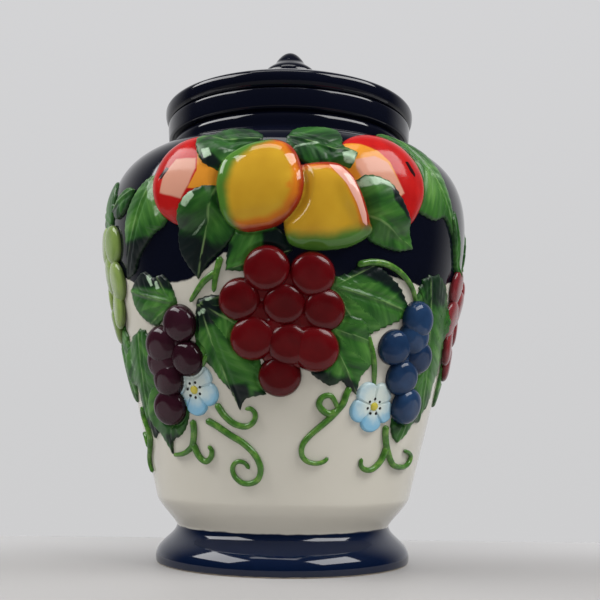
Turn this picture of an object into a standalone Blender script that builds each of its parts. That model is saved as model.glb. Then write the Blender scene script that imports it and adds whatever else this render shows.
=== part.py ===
"""Covered cookie jar in glazed stoneware, its wall dressed with fruit, grapes, leaves and vines.

Units are metres and +Z is up. The origin is the centre of the foot's underside, and the front
faces -Y. A place on the wall is an azimuth, in degrees from the front towards +X, and a climb,
the share of the wall's curve from the waist (0) up to the root of the neck (1).
"""

from dataclasses import dataclass
from math import atan2, cos, degrees, hypot, pi, radians, sin
from typing import Callable

import bmesh
import bpy
import numpy as np
from mathutils import Vector
from mathutils.geometry import interpolate_bezier

# Foot
FOOT_RADIUS = 0.0658
FOOT_EDGE_HEIGHT = 0.0032
FOOT_RING_WIDTH = 0.0065
FOOT_RECESS = 0.0035
FLOOR_THICKNESS = 0.0055

# Wall, from the waist to the root of the neck
WAIST_RADIUS = 0.0555
WAIST_HEIGHT = 0.0185
HIP_RADIUS = 0.0662
HIP_HEIGHT = 0.0330
BELLY_RADIUS = 0.0966
BELLY_HEIGHT = 0.1740
NECK_RADIUS = 0.0606
NECK_ROOT_HEIGHT = 0.2136
WALL = 0.0050
HIP_FLARE = 0.25
HIP_FULLNESS = 0.33
BELLY_FULLNESS = 0.20
SHOULDER_FULLNESS = 0.69
SHOULDER_REACH = 0.64
SHOULDER_DROP = 0.045

# Collar and mouth, above the root of the neck
NECK_HEIGHT = 0.0094
COLLAR_RADIUS = 0.0672
COLLAR_HEIGHT = 0.0105
COLLAR_BOTTOM = NECK_ROOT_HEIGHT + NECK_HEIGHT
RIM_HEIGHT = COLLAR_BOTTOM + COLLAR_HEIGHT
LIP_ROUND = 0.0010
MOUTH_RADIUS = 0.0545

# Lid
LID_RADIUS = 0.0689
LID_RIM_DEPTH = 0.0093
LID_RISE = 0.0110
LID_WALL = 0.0050
LID_PLAY = 0.0020
SKIRT_DEPTH = 0.0090
SKIRT_WALL = 0.0045
SKIRT_ROUND = 0.0008
SEAT_GAP = 0.0003

# Knob
KNOB_HEIGHT = 0.0256
KNOB_RADIUS = 0.0167
KNOB_EDGE_HEIGHT = 0.0107
KNOB_STEM_RADIUS = 0.0096
KNOB_STEM_HEIGHT = 0.0034
KNOB_FOOT_RADIUS = 0.0114
NUB_RADIUS = 0.0065
NUB_LENGTH = 0.0046

# Modelled ornament
ORNAMENT_GAP = 0.0004
ORNAMENT_CLEARANCE = 0.0005
CUTTER_REACH = 0.0150
APPLE_RADIUS = 0.0235
APPLE_LIFT = 0.0062
PEACH_RADIUS = 0.0205
PEACH_LIFT = 0.0070
BERRY_RADIUS = 0.0102
BERRY_LIFT = 0.0050
SIDE_BERRY_LIFT = 0.0030
BERRY_BOWL = 0.0009
LEAF_LENGTH = 0.0460
VINE_LEAF_RADIUS = 0.0280
LEAF_LIFT = 0.0024
LEAF_EDGE = 0.0009
LEAF_GROOVE = 0.0007
FLOWER_RADIUS = 0.0125
FLOWER_LIFT = 0.0022
TENDRIL_RADIUS = 0.0014
TENDRIL_TIP = 0.65
STEM_RADIUS = 0.0015

# Smoothness
TURN_STEPS = 46
KNOB_STEPS = 20
FRUIT_SIDES = 18
LEAF_SIDES = 16
LOBED_SIDES = 20
BERRY_SIDES = 10
VINE_SPACING = 0.0050
FLAT_ANGLE = 2.4
MITRE_LIMIT = 0.35
START_ANGLE = 0.5 * pi
WALL_SAMPLES = 120
MERGE = 0.00003

GLAZES = {
    "cream": ((0.78, 0.75, 0.69), 0.16),
    "navy": ((0.012, 0.014, 0.035), 0.10),
    "apple_red": ((0.55, 0.03, 0.03), 0.15),
    "peach_yellow": ((0.78, 0.48, 0.06), 0.15),
    "leaf_green": ((0.07, 0.20, 0.06), 0.18),
    "red_grape": ((0.19, 0.015, 0.02), 0.14),
    "purple_grape": ((0.05, 0.02, 0.035), 0.14),
    "blue_grape": ((0.03, 0.05, 0.15), 0.14),
    "green_grape": ((0.45, 0.55, 0.14), 0.16),
    "petal_blue": ((0.52, 0.68, 0.80), 0.18),
    "vine_green": ((0.17, 0.30, 0.09), 0.20),
}


def clear_scene():
    """Start from nothing, whatever the file held."""
    for old in list(bpy.data.objects):
        bpy.data.objects.remove(old, do_unlink=True)


def make_collection(name):
    """A collection linked to the scene."""
    group = bpy.data.collections.new(name)
    bpy.context.scene.collection.children.link(group)
    return group


def glaze(name, kind):
    """A fired glaze for one piece: colour and gloss from the list above."""
    colour, roughness = GLAZES[kind]
    material = bpy.data.materials.new(name + "_glaze")
    material.use_nodes = True
    shader = material.node_tree.nodes["Principled BSDF"]
    shader.inputs["Base Color"].default_value = (*colour, 1.0)
    shader.inputs["Roughness"].default_value = roughness
    shader.inputs["Metallic"].default_value = 0.0
    material.diffuse_color = (*colour, 1.0)
    return material


def add_object(name, mesh, group, kind=None):
    """Put a mesh in a collection under its piece's name."""
    piece = bpy.data.objects.new(name, mesh)
    group.objects.link(piece)
    if kind:
        mesh.materials.clear()
        mesh.materials.append(glaze(name, kind))
    return piece


def curve(start, out_of, into, end, steps):
    """Points on a Bezier curve in the (radius, height) plane, without the first one."""
    knots = [Vector((p[0], p[1], 0.0)) for p in (start, out_of, into, end)]
    points = interpolate_bezier(knots[0], knots[1], knots[2], knots[3], steps + 1)
    return [(p.x, p.y) for p in points[1:]]


def wall_outline(waist_steps, flank_steps, shoulder_steps):
    """The outer wall from the waist up to the root of the neck."""
    waist = (WAIST_RADIUS, WAIST_HEIGHT)
    hip = (HIP_RADIUS, HIP_HEIGHT)
    belly = (BELLY_RADIUS, BELLY_HEIGHT)
    neck = (NECK_RADIUS, NECK_ROOT_HEIGHT)
    flare = HIP_HEIGHT - WAIST_HEIGHT
    flank = BELLY_HEIGHT - HIP_HEIGHT
    shoulder = NECK_ROOT_HEIGHT - BELLY_HEIGHT
    above_waist = (WAIST_RADIUS + 0.09 * flare, WAIST_HEIGHT + 0.21 * flare)
    below_hip = (HIP_RADIUS - 0.27 * flare * HIP_FLARE, HIP_HEIGHT - 0.27 * flare)
    above_hip = (HIP_RADIUS + HIP_FLARE * HIP_FULLNESS * flank, HIP_HEIGHT + HIP_FULLNESS * flank)
    below_belly = (BELLY_RADIUS, BELLY_HEIGHT - BELLY_FULLNESS * flank)
    above_belly = (BELLY_RADIUS, BELLY_HEIGHT + SHOULDER_FULLNESS * shoulder)
    outside_neck = (NECK_RADIUS + SHOULDER_REACH * (BELLY_RADIUS - NECK_RADIUS),
                    NECK_ROOT_HEIGHT - SHOULDER_DROP * shoulder)
    points = [waist]
    points += curve(waist, above_waist, below_hip, hip, waist_steps)
    points += curve(hip, above_hip, below_belly, belly, flank_steps)
    points += curve(belly, above_belly, outside_neck, neck, shoulder_steps)
    return points


def inset(points, distance):
    """The same outline moved inwards, square to itself."""
    moved = []
    for index, (radius, height) in enumerate(points):
        before = points[max(index - 1, 0)]
        after = points[min(index + 1, len(points) - 1)]
        run = after[0] - before[0]
        rise = after[1] - before[1]
        length = hypot(run, rise)
        moved.append((radius - distance * rise / length, height + distance * run / length))
    return moved


def body_outline():
    """Inner floor, inner wall, mouth, collar, outer wall and foot, from axis to axis."""
    floor_top = FOOT_RECESS + FLOOR_THICKNESS
    inner_waist = WAIST_RADIUS - WALL
    inside = inset(wall_outline(1, 4, 3), WALL)[1:-1]
    bore_foot = NECK_ROOT_HEIGHT + 0.1 * (COLLAR_BOTTOM - NECK_ROOT_HEIGHT)
    inner_shoulder = NECK_ROOT_HEIGHT - WALL
    points = [(0.0, floor_top), (inner_waist - WALL, floor_top)]
    points += curve(points[-1], (inner_waist, floor_top), (inner_waist, floor_top + 0.3 * WALL),
                    (inner_waist, WAIST_HEIGHT), 2)
    points += inside
    points += [(MOUTH_RADIUS + 0.5 * WALL, inner_shoulder), (MOUTH_RADIUS, bore_foot)]
    points += [(MOUTH_RADIUS, RIM_HEIGHT - LIP_ROUND), (MOUTH_RADIUS + LIP_ROUND, RIM_HEIGHT)]
    points += collar_outline()
    points += reversed(wall_outline(2, 6, 6)[:-1])
    points += foot_outline()
    return points


def collar_outline():
    """The lip's flat seat, the bulging collar and the hollow neck below it."""
    depth = RIM_HEIGHT - COLLAR_BOTTOM
    lip = (COLLAR_RADIUS - LIP_ROUND, RIM_HEIGHT)
    flank = (COLLAR_RADIUS, RIM_HEIGHT - 0.35 * depth)
    under = (COLLAR_RADIUS - 0.4 * (COLLAR_RADIUS - NECK_RADIUS), COLLAR_BOTTOM)
    throat = (NECK_RADIUS, COLLAR_BOTTOM - 0.4 * (COLLAR_BOTTOM - NECK_ROOT_HEIGHT))
    points = [lip]
    points += curve(lip, (COLLAR_RADIUS, RIM_HEIGHT), (COLLAR_RADIUS, RIM_HEIGHT - 0.2 * depth), flank, 1)
    points += curve(flank, (COLLAR_RADIUS, COLLAR_BOTTOM + 0.25 * depth),
                    (COLLAR_RADIUS - 0.1 * (COLLAR_RADIUS - NECK_RADIUS), COLLAR_BOTTOM), under, 2)
    points += curve(under, (NECK_RADIUS + 0.1 * (COLLAR_RADIUS - NECK_RADIUS), COLLAR_BOTTOM),
                    (NECK_RADIUS, COLLAR_BOTTOM - 0.1 * depth), throat, 1)
    points.append((NECK_RADIUS, NECK_ROOT_HEIGHT))
    return points


def foot_outline():
    """The flared foot below the waist, its ring and the recess under the floor."""
    edge = (FOOT_RADIUS, FOOT_EDGE_HEIGHT)
    ring_outer = (FOOT_RADIUS - 0.3 * FOOT_EDGE_HEIGHT, 0.0)
    ring_inner = (FOOT_RADIUS - FOOT_RING_WIDTH - 0.3 * FOOT_EDGE_HEIGHT, 0.0)
    drop = WAIST_HEIGHT - FOOT_EDGE_HEIGHT
    points = curve((WAIST_RADIUS, WAIST_HEIGHT), (WAIST_RADIUS, WAIST_HEIGHT - 0.35 * drop),
                   (FOOT_RADIUS, FOOT_EDGE_HEIGHT + 0.45 * drop), edge, 3)
    points += curve(edge, (FOOT_RADIUS, 0.4 * FOOT_EDGE_HEIGHT), (FOOT_RADIUS, 0.0), ring_outer, 1)
    points += [ring_inner, (ring_inner[0] - 0.3 * FOOT_RECESS, FOOT_RECESS), (0.0, FOOT_RECESS)]
    return points


def lid_outline():
    """The lid from the crown over its bead and under it to the skirt and the hollow inside."""
    seat = RIM_HEIGHT + SEAT_GAP
    rim_top = seat + LID_RIM_DEPTH
    crown = rim_top + LID_RISE
    bead = 0.5 * LID_RIM_DEPTH
    skirt = MOUTH_RADIUS - LID_PLAY
    skirt_foot = seat - SKIRT_DEPTH
    skirt_inner = skirt - SKIRT_WALL
    shoulder = (LID_RADIUS - bead, rim_top)
    widest = (LID_RADIUS, seat + 0.6 * LID_RIM_DEPTH)
    seat_edge = (LID_RADIUS - 0.6 * bead, seat)
    hollow = seat + 0.4 * LID_RIM_DEPTH
    points = [(0.0, crown), (KNOB_FOOT_RADIUS + SEAT_GAP, crown)]
    points += curve(points[-1], (0.58 * LID_RADIUS, crown), (0.80 * LID_RADIUS, rim_top + 0.34 * LID_RISE),
                    shoulder, 5)
    points += curve(shoulder, (LID_RADIUS - 0.3 * bead, rim_top), (LID_RADIUS, widest[1] + 0.5 * bead),
                    widest, 2)
    points += curve(widest, (LID_RADIUS, widest[1] - 0.6 * bead), (LID_RADIUS - 0.2 * bead, seat),
                    seat_edge, 2)
    points += [(skirt, seat), (skirt, skirt_foot + SKIRT_ROUND), (skirt - SKIRT_ROUND, skirt_foot)]
    points += [(skirt_inner + SKIRT_ROUND, skirt_foot), (skirt_inner, skirt_foot + SKIRT_ROUND)]
    points.append((skirt_inner, hollow))
    points += curve(points[-1], (0.8 * skirt_inner, hollow + 0.55 * (crown - LID_WALL - hollow)),
                    (0.5 * skirt_inner, crown - LID_WALL), (0.0, crown - LID_WALL), 3)
    return points


def knob_outline():
    """A pointed nub on a round button, over a waisted stem luted to the crown."""
    base = RIM_HEIGHT + SEAT_GAP + LID_RIM_DEPTH + LID_RISE + SEAT_GAP
    tip = (0.0, base + KNOB_HEIGHT)
    nub = (NUB_RADIUS, tip[1] - NUB_LENGTH)
    edge = (KNOB_RADIUS, base + KNOB_EDGE_HEIGHT)
    stem = (KNOB_STEM_RADIUS, base + KNOB_STEM_HEIGHT)
    foot = (KNOB_FOOT_RADIUS, base)
    crest = nub[1] - edge[1]
    tuck = edge[1] - stem[1]
    points = [tip]
    points += curve(tip, (0.55 * NUB_RADIUS, tip[1]), (0.92 * NUB_RADIUS, nub[1] + 0.45 * NUB_LENGTH), nub, 2)
    points += curve(nub, (1.17 * NUB_RADIUS, nub[1] - 0.37 * crest), (0.97 * KNOB_RADIUS, edge[1] + 0.54 * crest),
                    edge, 4)
    points += curve(edge, (KNOB_RADIUS, edge[1] - 0.6 * tuck), (1.1 * KNOB_STEM_RADIUS, stem[1] + 0.45 * tuck),
                    stem, 3)
    points += curve(stem, (0.97 * KNOB_STEM_RADIUS, base + 0.5 * KNOB_STEM_HEIGHT),
                    (0.9 * KNOB_FOOT_RADIUS, base + 0.2 * KNOB_STEM_HEIGHT), foot, 2)
    points.append((0.0, base))
    return points


def turn_piece(name, outline, steps, kind, group):
    """Spin an outline that runs from axis to axis into one closed body."""
    mesh = bpy.data.meshes.new(name)
    edges = [(i, i + 1) for i in range(len(outline) - 1)]
    mesh.from_pydata([(radius, 0.0, height) for radius, height in outline], edges, [])
    piece = add_object(name, mesh, group, kind)
    screw = piece.modifiers.new("turn", "SCREW")
    screw.axis = "Z"
    screw.angle = 2.0 * pi
    screw.steps = steps
    screw.render_steps = steps
    screw.use_merge_vertices = True
    screw.merge_threshold = MERGE
    screw.use_smooth_shade = True
    return piece


class WallMap:
    """Carries flat patterns onto the outer wall, by arc length up it and round it."""

    def __init__(self):
        points = wall_outline(WALL_SAMPLES // 4, WALL_SAMPLES, WALL_SAMPLES // 2)
        points.append((NECK_RADIUS, COLLAR_BOTTOM))
        self.radii = np.array([p[0] for p in points])
        self.heights = np.array([p[1] for p in points])
        steps = np.hypot(np.diff(self.radii), np.diff(self.heights))
        self.arcs = np.concatenate([[0.0], np.cumsum(steps)])
        self.length = self.arcs[-2]
        self.flare = np.gradient(self.radii, self.arcs)
        self.rise = np.gradient(self.heights, self.arcs)

    def point(self, azimuth, climb, across=0.0, along=0.0, lift=0.0):
        """World position of a place on the wall, shifted in its surface and lifted off it."""
        arc = climb * self.length + along
        radius = np.interp(arc, self.arcs, self.radii)
        height = np.interp(arc, self.arcs, self.heights)
        angle = radians(azimuth) + across / radius
        out = radius + lift * np.interp(arc, self.arcs, self.rise)
        up = height - lift * np.interp(arc, self.arcs, self.flare)
        return Vector((out * sin(angle), -out * cos(angle), up))

    def shift(self, azimuth, climb, place):
        """How far across and along the wall a place lies from an azimuth and a climb."""
        radius = np.interp(place[1] * self.length, self.arcs, self.radii)
        return (radians(place[0] - azimuth) * radius, (place[1] - climb) * self.length)

    def moved(self, azimuth, climb, across, along):
        """The azimuth and climb of a place that lies so far across and along from another."""
        arc = climb * self.length + along
        return (azimuth + degrees(across / np.interp(arc, self.arcs, self.radii)), arc / self.length)


@dataclass
class Sprig:
    """One moulded relief form: a closed outline on the wall and a lift above it."""

    name: str
    kind: str
    azimuth: float
    climb: float
    turn: float
    outline: Callable
    dome: Callable
    sides: int
    rings: int
    bowl: float = 0.0

    def reach(self):
        """The farthest that the outline lies from its centre."""
        return max(hypot(*self.outline(2.0 * pi * i / self.sides)) for i in range(self.sides))

    def place(self, wall, share, angle, lift, grow=0.0):
        """World position of a share of the way out to the outline, at an angle round it."""
        x, y = self.outset(angle, grow) if grow else self.outline(angle)
        c = share * cos(radians(self.turn))
        s = share * sin(radians(self.turn))
        return wall.point(self.azimuth, self.climb, c * x - s * y, s * x + c * y, lift)

    def outset(self, angle, distance):
        """The outline's corner at an angle, moved out square to both sides that meet there."""
        step = 2.0 * pi / self.sides
        before, here, after = (Vector(self.outline(angle + turn)) for turn in (-step, 0.0, step))
        into = (here - before).normalized()
        tangent = (into + (after - here).normalized()).normalized()
        outward = Vector((tangent.y, -tangent.x))
        return here + outward * distance / max(into.dot(tangent), MITRE_LIMIT)


def ellipse(width, height):
    """Outline of a round fruit from its two half widths."""
    return lambda angle: (width * cos(angle), height * sin(angle))


def plump(width, height, taper):
    """A fruit that is broader at its base than at its top."""
    return lambda angle: (width * cos(angle) * (1.0 - taper * sin(angle)), height * sin(angle))


def pointed_leaf(length, width, teeth, tooth):
    """A serrated leaf along its own x axis, broad near the stalk and pointed at the tip."""
    def outline(angle):
        saw = 1.0 + tooth * cos(teeth * angle)
        spread = abs(sin(angle)) ** 0.35 * (1.0 - 0.28 * cos(angle))
        return (0.5 * length * cos(angle) * (1.0 - 0.3 * tooth * (1.0 - cos(teeth * angle))),
                0.5 * width * sin(angle) * spread * saw)
    return outline


def lobed_leaf(radius, depth):
    """A five-lobed vine leaf whose longest lobe points along its own x axis."""
    def outline(angle):
        size = radius * (1.0 - depth + depth * cos(5.0 * angle)) * (1.0 + 0.16 * cos(angle))
        return (size * cos(angle), size * sin(angle))
    return outline


def drawn(shifts):
    """An outline through corners given as shifts from its centre, anticlockwise from the tip."""
    def outline(angle):
        step = (angle - START_ANGLE) / (2.0 * pi) * len(shifts) % len(shifts)
        corner = int(step + 0.001)
        share = step - corner
        x0, y0 = shifts[corner % len(shifts)]
        x1, y1 = shifts[(corner + 1) % len(shifts)]
        return (x0 + share * (x1 - x0), y0 + share * (y1 - y0))
    return outline


def petals(radius, count, depth):
    """A round blossom with notches between its petals."""
    def outline(angle):
        size = radius * (1.0 - depth * (1.0 - abs(cos(0.5 * count * angle))))
        return (size * cos(angle), size * sin(angle))
    return outline


def fruit_dome(lift):
    """Height of a round fruit over its outline."""
    return lambda share, angle: lift * (1.0 - share * share) ** 0.5


def leaf_dome(share, angle):
    """A leaf that swells between a sunk midrib and a thin edge."""
    rib = LEAF_GROOVE * abs(cos(angle)) ** 12 * (1.0 - 0.5 * share)
    return LEAF_EDGE + (LEAF_LIFT - LEAF_EDGE) * (1.0 - share ** 2) ** 0.7 - rib * (1.0 if share < 0.99 else 0.0)


def drawn_leaf_dome(share, angle):
    """The same leaf where its tip is the first corner of a drawn outline."""
    return leaf_dome(share, angle - START_ANGLE)


def flower_dome(share, angle):
    """Petals that rise from a dimple round a raised middle."""
    if share < 0.1:
        return FLOWER_LIFT
    return FLOWER_LIFT * (0.62 + 0.3 * share) if share < 0.99 else 0.4 * FLOWER_LIFT


def sprig_mesh(sprig, wall):
    """Bend a sphere into the sprig: its equator on the outline, its lower half along the wall."""
    mesh = bpy.data.meshes.new(sprig.name)
    shape = bmesh.new()
    bmesh.ops.create_uvsphere(shape, u_segments=sprig.sides, v_segments=sprig.rings, radius=1.0)
    for vertex in shape.verts:
        x, y, z = vertex.co
        share = min(hypot(x, y), 1.0)
        angle = atan2(y, x)
        if z > -0.01:
            lift = ORNAMENT_GAP + sprig.bowl + sprig.dome(share, angle)
        else:
            lift = ORNAMENT_GAP + sprig.bowl * (1.0 - (1.0 - share * share) ** 0.5)
        vertex.co = sprig.place(wall, share, angle, lift)
    bmesh.ops.triangulate(shape, faces=shape.faces[:])
    shape.to_mesh(mesh)
    shape.free()
    mesh.shade_smooth()
    return mesh


def cutter_mesh(sprig, wall):
    """A prism through the wall's skin, wider than the sprig by its clearance."""
    mesh = bpy.data.meshes.new(sprig.name + "_cutter")
    shape = bmesh.new()
    bmesh.ops.create_cone(shape, cap_ends=True, segments=sprig.sides, radius1=1.0, radius2=1.0, depth=2.0)
    for vertex in shape.verts:
        x, y, z = vertex.co
        vertex.co = sprig.place(wall, 1.0, atan2(y, x), z * CUTTER_REACH, ORNAMENT_CLEARANCE)
    bmesh.ops.triangulate(shape, faces=shape.faces[:])
    bmesh.ops.recalc_face_normals(shape, faces=shape.faces[:])
    shape.to_mesh(mesh)
    shape.free()
    return mesh


def combine(piece, other, operation):
    """Add a Boolean modifier with Blender's exact solver."""
    boolean = piece.modifiers.new(other.name, "BOOLEAN")
    boolean.operation = operation
    boolean.solver = "EXACT"
    boolean.object = other


def settle(piece):
    """Apply a piece's modifiers, merge what lies flat and keep its one main body.

    A merge can leave a sliver that isn't closed, so gentler ones are tried after it.
    """
    mesh = bpy.data.meshes.new_from_object(piece.evaluated_get(bpy.context.evaluated_depsgraph_get()))
    piece.modifiers.clear()
    old = piece.data
    shape = merged(mesh, FLAT_ANGLE, MERGE)
    for flat_angle, merge in ((FLAT_ANGLE, 0.3 * MERGE), (0.0, MERGE), (0.0, 0.3 * MERGE)):
        if all(len(edge.link_faces) == 2 for edge in shape.edges):
            break
        shape.free()
        shape = merged(mesh, flat_angle, merge)
    shape.to_mesh(mesh)
    shape.free()
    piece.data = mesh
    mesh.name = piece.name
    bpy.data.meshes.remove(old)


def merged(mesh, flat_angle, merge):
    """A mesh's main body with its doubled points and its nearly flat faces merged."""
    shape = bmesh.new()
    shape.from_mesh(mesh)
    bmesh.ops.remove_doubles(shape, verts=shape.verts[:], dist=merge)
    bmesh.ops.dissolve_degenerate(shape, edges=shape.edges[:], dist=merge)
    if flat_angle:
        bmesh.ops.dissolve_limit(shape, angle_limit=radians(flat_angle), verts=shape.verts[:],
                                 edges=shape.edges[:])
    bmesh.ops.triangulate(shape, faces=shape.faces[:])
    bmesh.ops.delete(shape, geom=smaller_islands(shape), context="VERTS")
    return shape


def smaller_islands(shape):
    """Every vertex that isn't joined to the largest island of the mesh."""
    unseen = set(shape.verts)
    islands = []
    while unseen:
        island = set()
        front = [unseen.pop()]
        while front:
            vertex = front.pop()
            island.add(vertex)
            for edge in vertex.link_edges:
                other = edge.other_vert(vertex)
                if other in unseen:
                    unseen.discard(other)
                    front.append(other)
        islands.append(island)
    islands.sort(key=len)
    return [vertex for island in islands[:-1] for vertex in island]


def smooth_route(points, spacing):
    """Points at an even spacing on a smooth curve through a vine's own points."""
    knots = [Vector(p) for p in points]
    route = []
    for i in range(len(knots) - 1):
        before = knots[max(i - 1, 0)]
        after = knots[min(i + 2, len(knots) - 1)]
        lead_out = knots[i] + (knots[i + 1] - before) / 6.0
        lead_in = knots[i + 1] - (after - knots[i]) / 6.0
        steps = max(1, round((knots[i + 1] - knots[i]).length / spacing))
        route += interpolate_bezier(knots[i], lead_out, lead_in, knots[i + 1], steps + 1)[:-1]
    route.append(knots[-1])
    return route


def vine_mesh(name, places, radius, wall, group):
    """A tapering round vine that lies on the wall along a route of (azimuth, climb) places."""
    lift = ORNAMENT_GAP + radius
    route = smooth_route([wall.point(azimuth, climb, lift=lift) for azimuth, climb in places], VINE_SPACING)
    data = bpy.data.curves.new(name, "CURVE")
    data.dimensions = "3D"
    data.bevel_depth = radius
    data.bevel_resolution = 1
    data.use_fill_caps = True
    spline = data.splines.new("POLY")
    spline.points.add(len(route) - 1)
    for index, place in enumerate(route):
        spline.points[index].co = (*place, 1.0)
        spline.points[index].radius = 1.0 - (1.0 - TENDRIL_TIP) * (index / (len(route) - 1)) ** 2
    rod = bpy.data.objects.new(name + "_route", data)
    group.objects.link(rod)
    mesh = bpy.data.meshes.new_from_object(rod.evaluated_get(bpy.context.evaluated_depsgraph_get()))
    shape = bmesh.new()
    shape.from_mesh(mesh)
    bmesh.ops.remove_doubles(shape, verts=shape.verts[:], dist=MERGE)
    bmesh.ops.triangulate(shape, faces=shape.faces[:])
    bmesh.ops.recalc_face_normals(shape, faces=shape.faces[:])
    shape.to_mesh(mesh)
    shape.free()
    mesh.shade_smooth()
    bpy.data.objects.remove(rod)
    return mesh


def add_vine(name, routes, radius, wall, parts, cutters):
    """A vine of one or more branches, joined into one body."""
    stalk = add_object(name, vine_mesh(name, routes[0], radius, wall, cutters), parts, "vine_green")
    for index, route in enumerate(routes[1:]):
        branch_name = f"{name}_branch_{index + 1}"
        branch = add_object(branch_name, vine_mesh(branch_name, route, radius, wall, cutters), cutters)
        hide(branch)
        combine(stalk, branch, "UNION")
    return stalk


def hide(helper):
    """Mark a cutter or a joined branch as a construction object."""
    helper.hide_render = True
    helper.display_type = "WIRE"


def leaf(name, azimuth, climb, scale, breadth, turn):
    """A serrated leaf; turn is the way its tip points, in degrees from the right, anticlockwise."""
    length = scale * LEAF_LENGTH
    outline = pointed_leaf(length, breadth * length, LEAF_SIDES // 2, 0.07)
    return [Sprig(name, "leaf_green", azimuth, climb, turn, outline, leaf_dome, LEAF_SIDES, 6)]


def vine_leaf(name, azimuth, climb, turn):
    """A five-lobed leaf."""
    return [Sprig(name, "leaf_green", azimuth, climb, turn, lobed_leaf(VINE_LEAF_RADIUS, 0.20), leaf_dome,
                  LOBED_SIDES, 6)]


def drawn_leaf(name, wall, *places):
    """A leaf with its own outline of (azimuth, climb) places, anticlockwise from the tip."""
    azimuth = sum(place[0] for place in places) / len(places)
    climb = sum(place[1] for place in places) / len(places)
    outline = drawn([wall.shift(azimuth, climb, place) for place in places])
    return [Sprig(name, "leaf_green", azimuth, climb, 0.0, outline, drawn_leaf_dome, len(places), 6)]


def hanging_leaf(name, wall, azimuth, climb, *corners):
    """A leaf under a bunch: its corners are shifts from the first grape, in grape radii."""
    places = [wall.moved(azimuth, climb, across * BERRY_RADIUS, up * BERRY_RADIUS) for across, up in corners]
    return drawn_leaf(name, wall, *places)


def apple(name, azimuth, climb, scale=1.0):
    """A round apple seen from its side."""
    radius = scale * APPLE_RADIUS
    return [Sprig(name, "apple_red", azimuth, climb, 0.0, ellipse(0.96 * radius, radius),
                  fruit_dome(APPLE_LIFT), FRUIT_SIDES, 6)]


def peach(name, azimuth, climb, turn, slim=0.92):
    """A plump peach, a little broader at one end."""
    return [Sprig(name, "peach_yellow", azimuth, climb, turn, plump(slim * PEACH_RADIUS, PEACH_RADIUS, 0.08),
                  fruit_dome(PEACH_LIFT), FRUIT_SIDES, 6)]


def flower(name, azimuth, climb, turn):
    """A small open blossom of five petals."""
    return [Sprig(name, "petal_blue", azimuth, climb, turn, petals(FLOWER_RADIUS, 5, 0.22), flower_dome, 20, 4)]


def bunch(name, kind, wall, azimuth, climb, shifts, scale=1.0, lift=BERRY_LIFT):
    """Overlapping grapes that join into one body; each shift from the first is in grape radii."""
    radius = scale * BERRY_RADIUS
    return [Sprig(name if i == 0 else f"{name}_{i}", kind, *wall.moved(azimuth, climb, across * radius, up * radius),
                  0.0, ellipse(radius, radius), fruit_dome(lift), BERRY_SIDES, 4, BERRY_BOWL)
            for i, (across, up) in enumerate([(0.0, 0.0), *shifts])]


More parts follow.
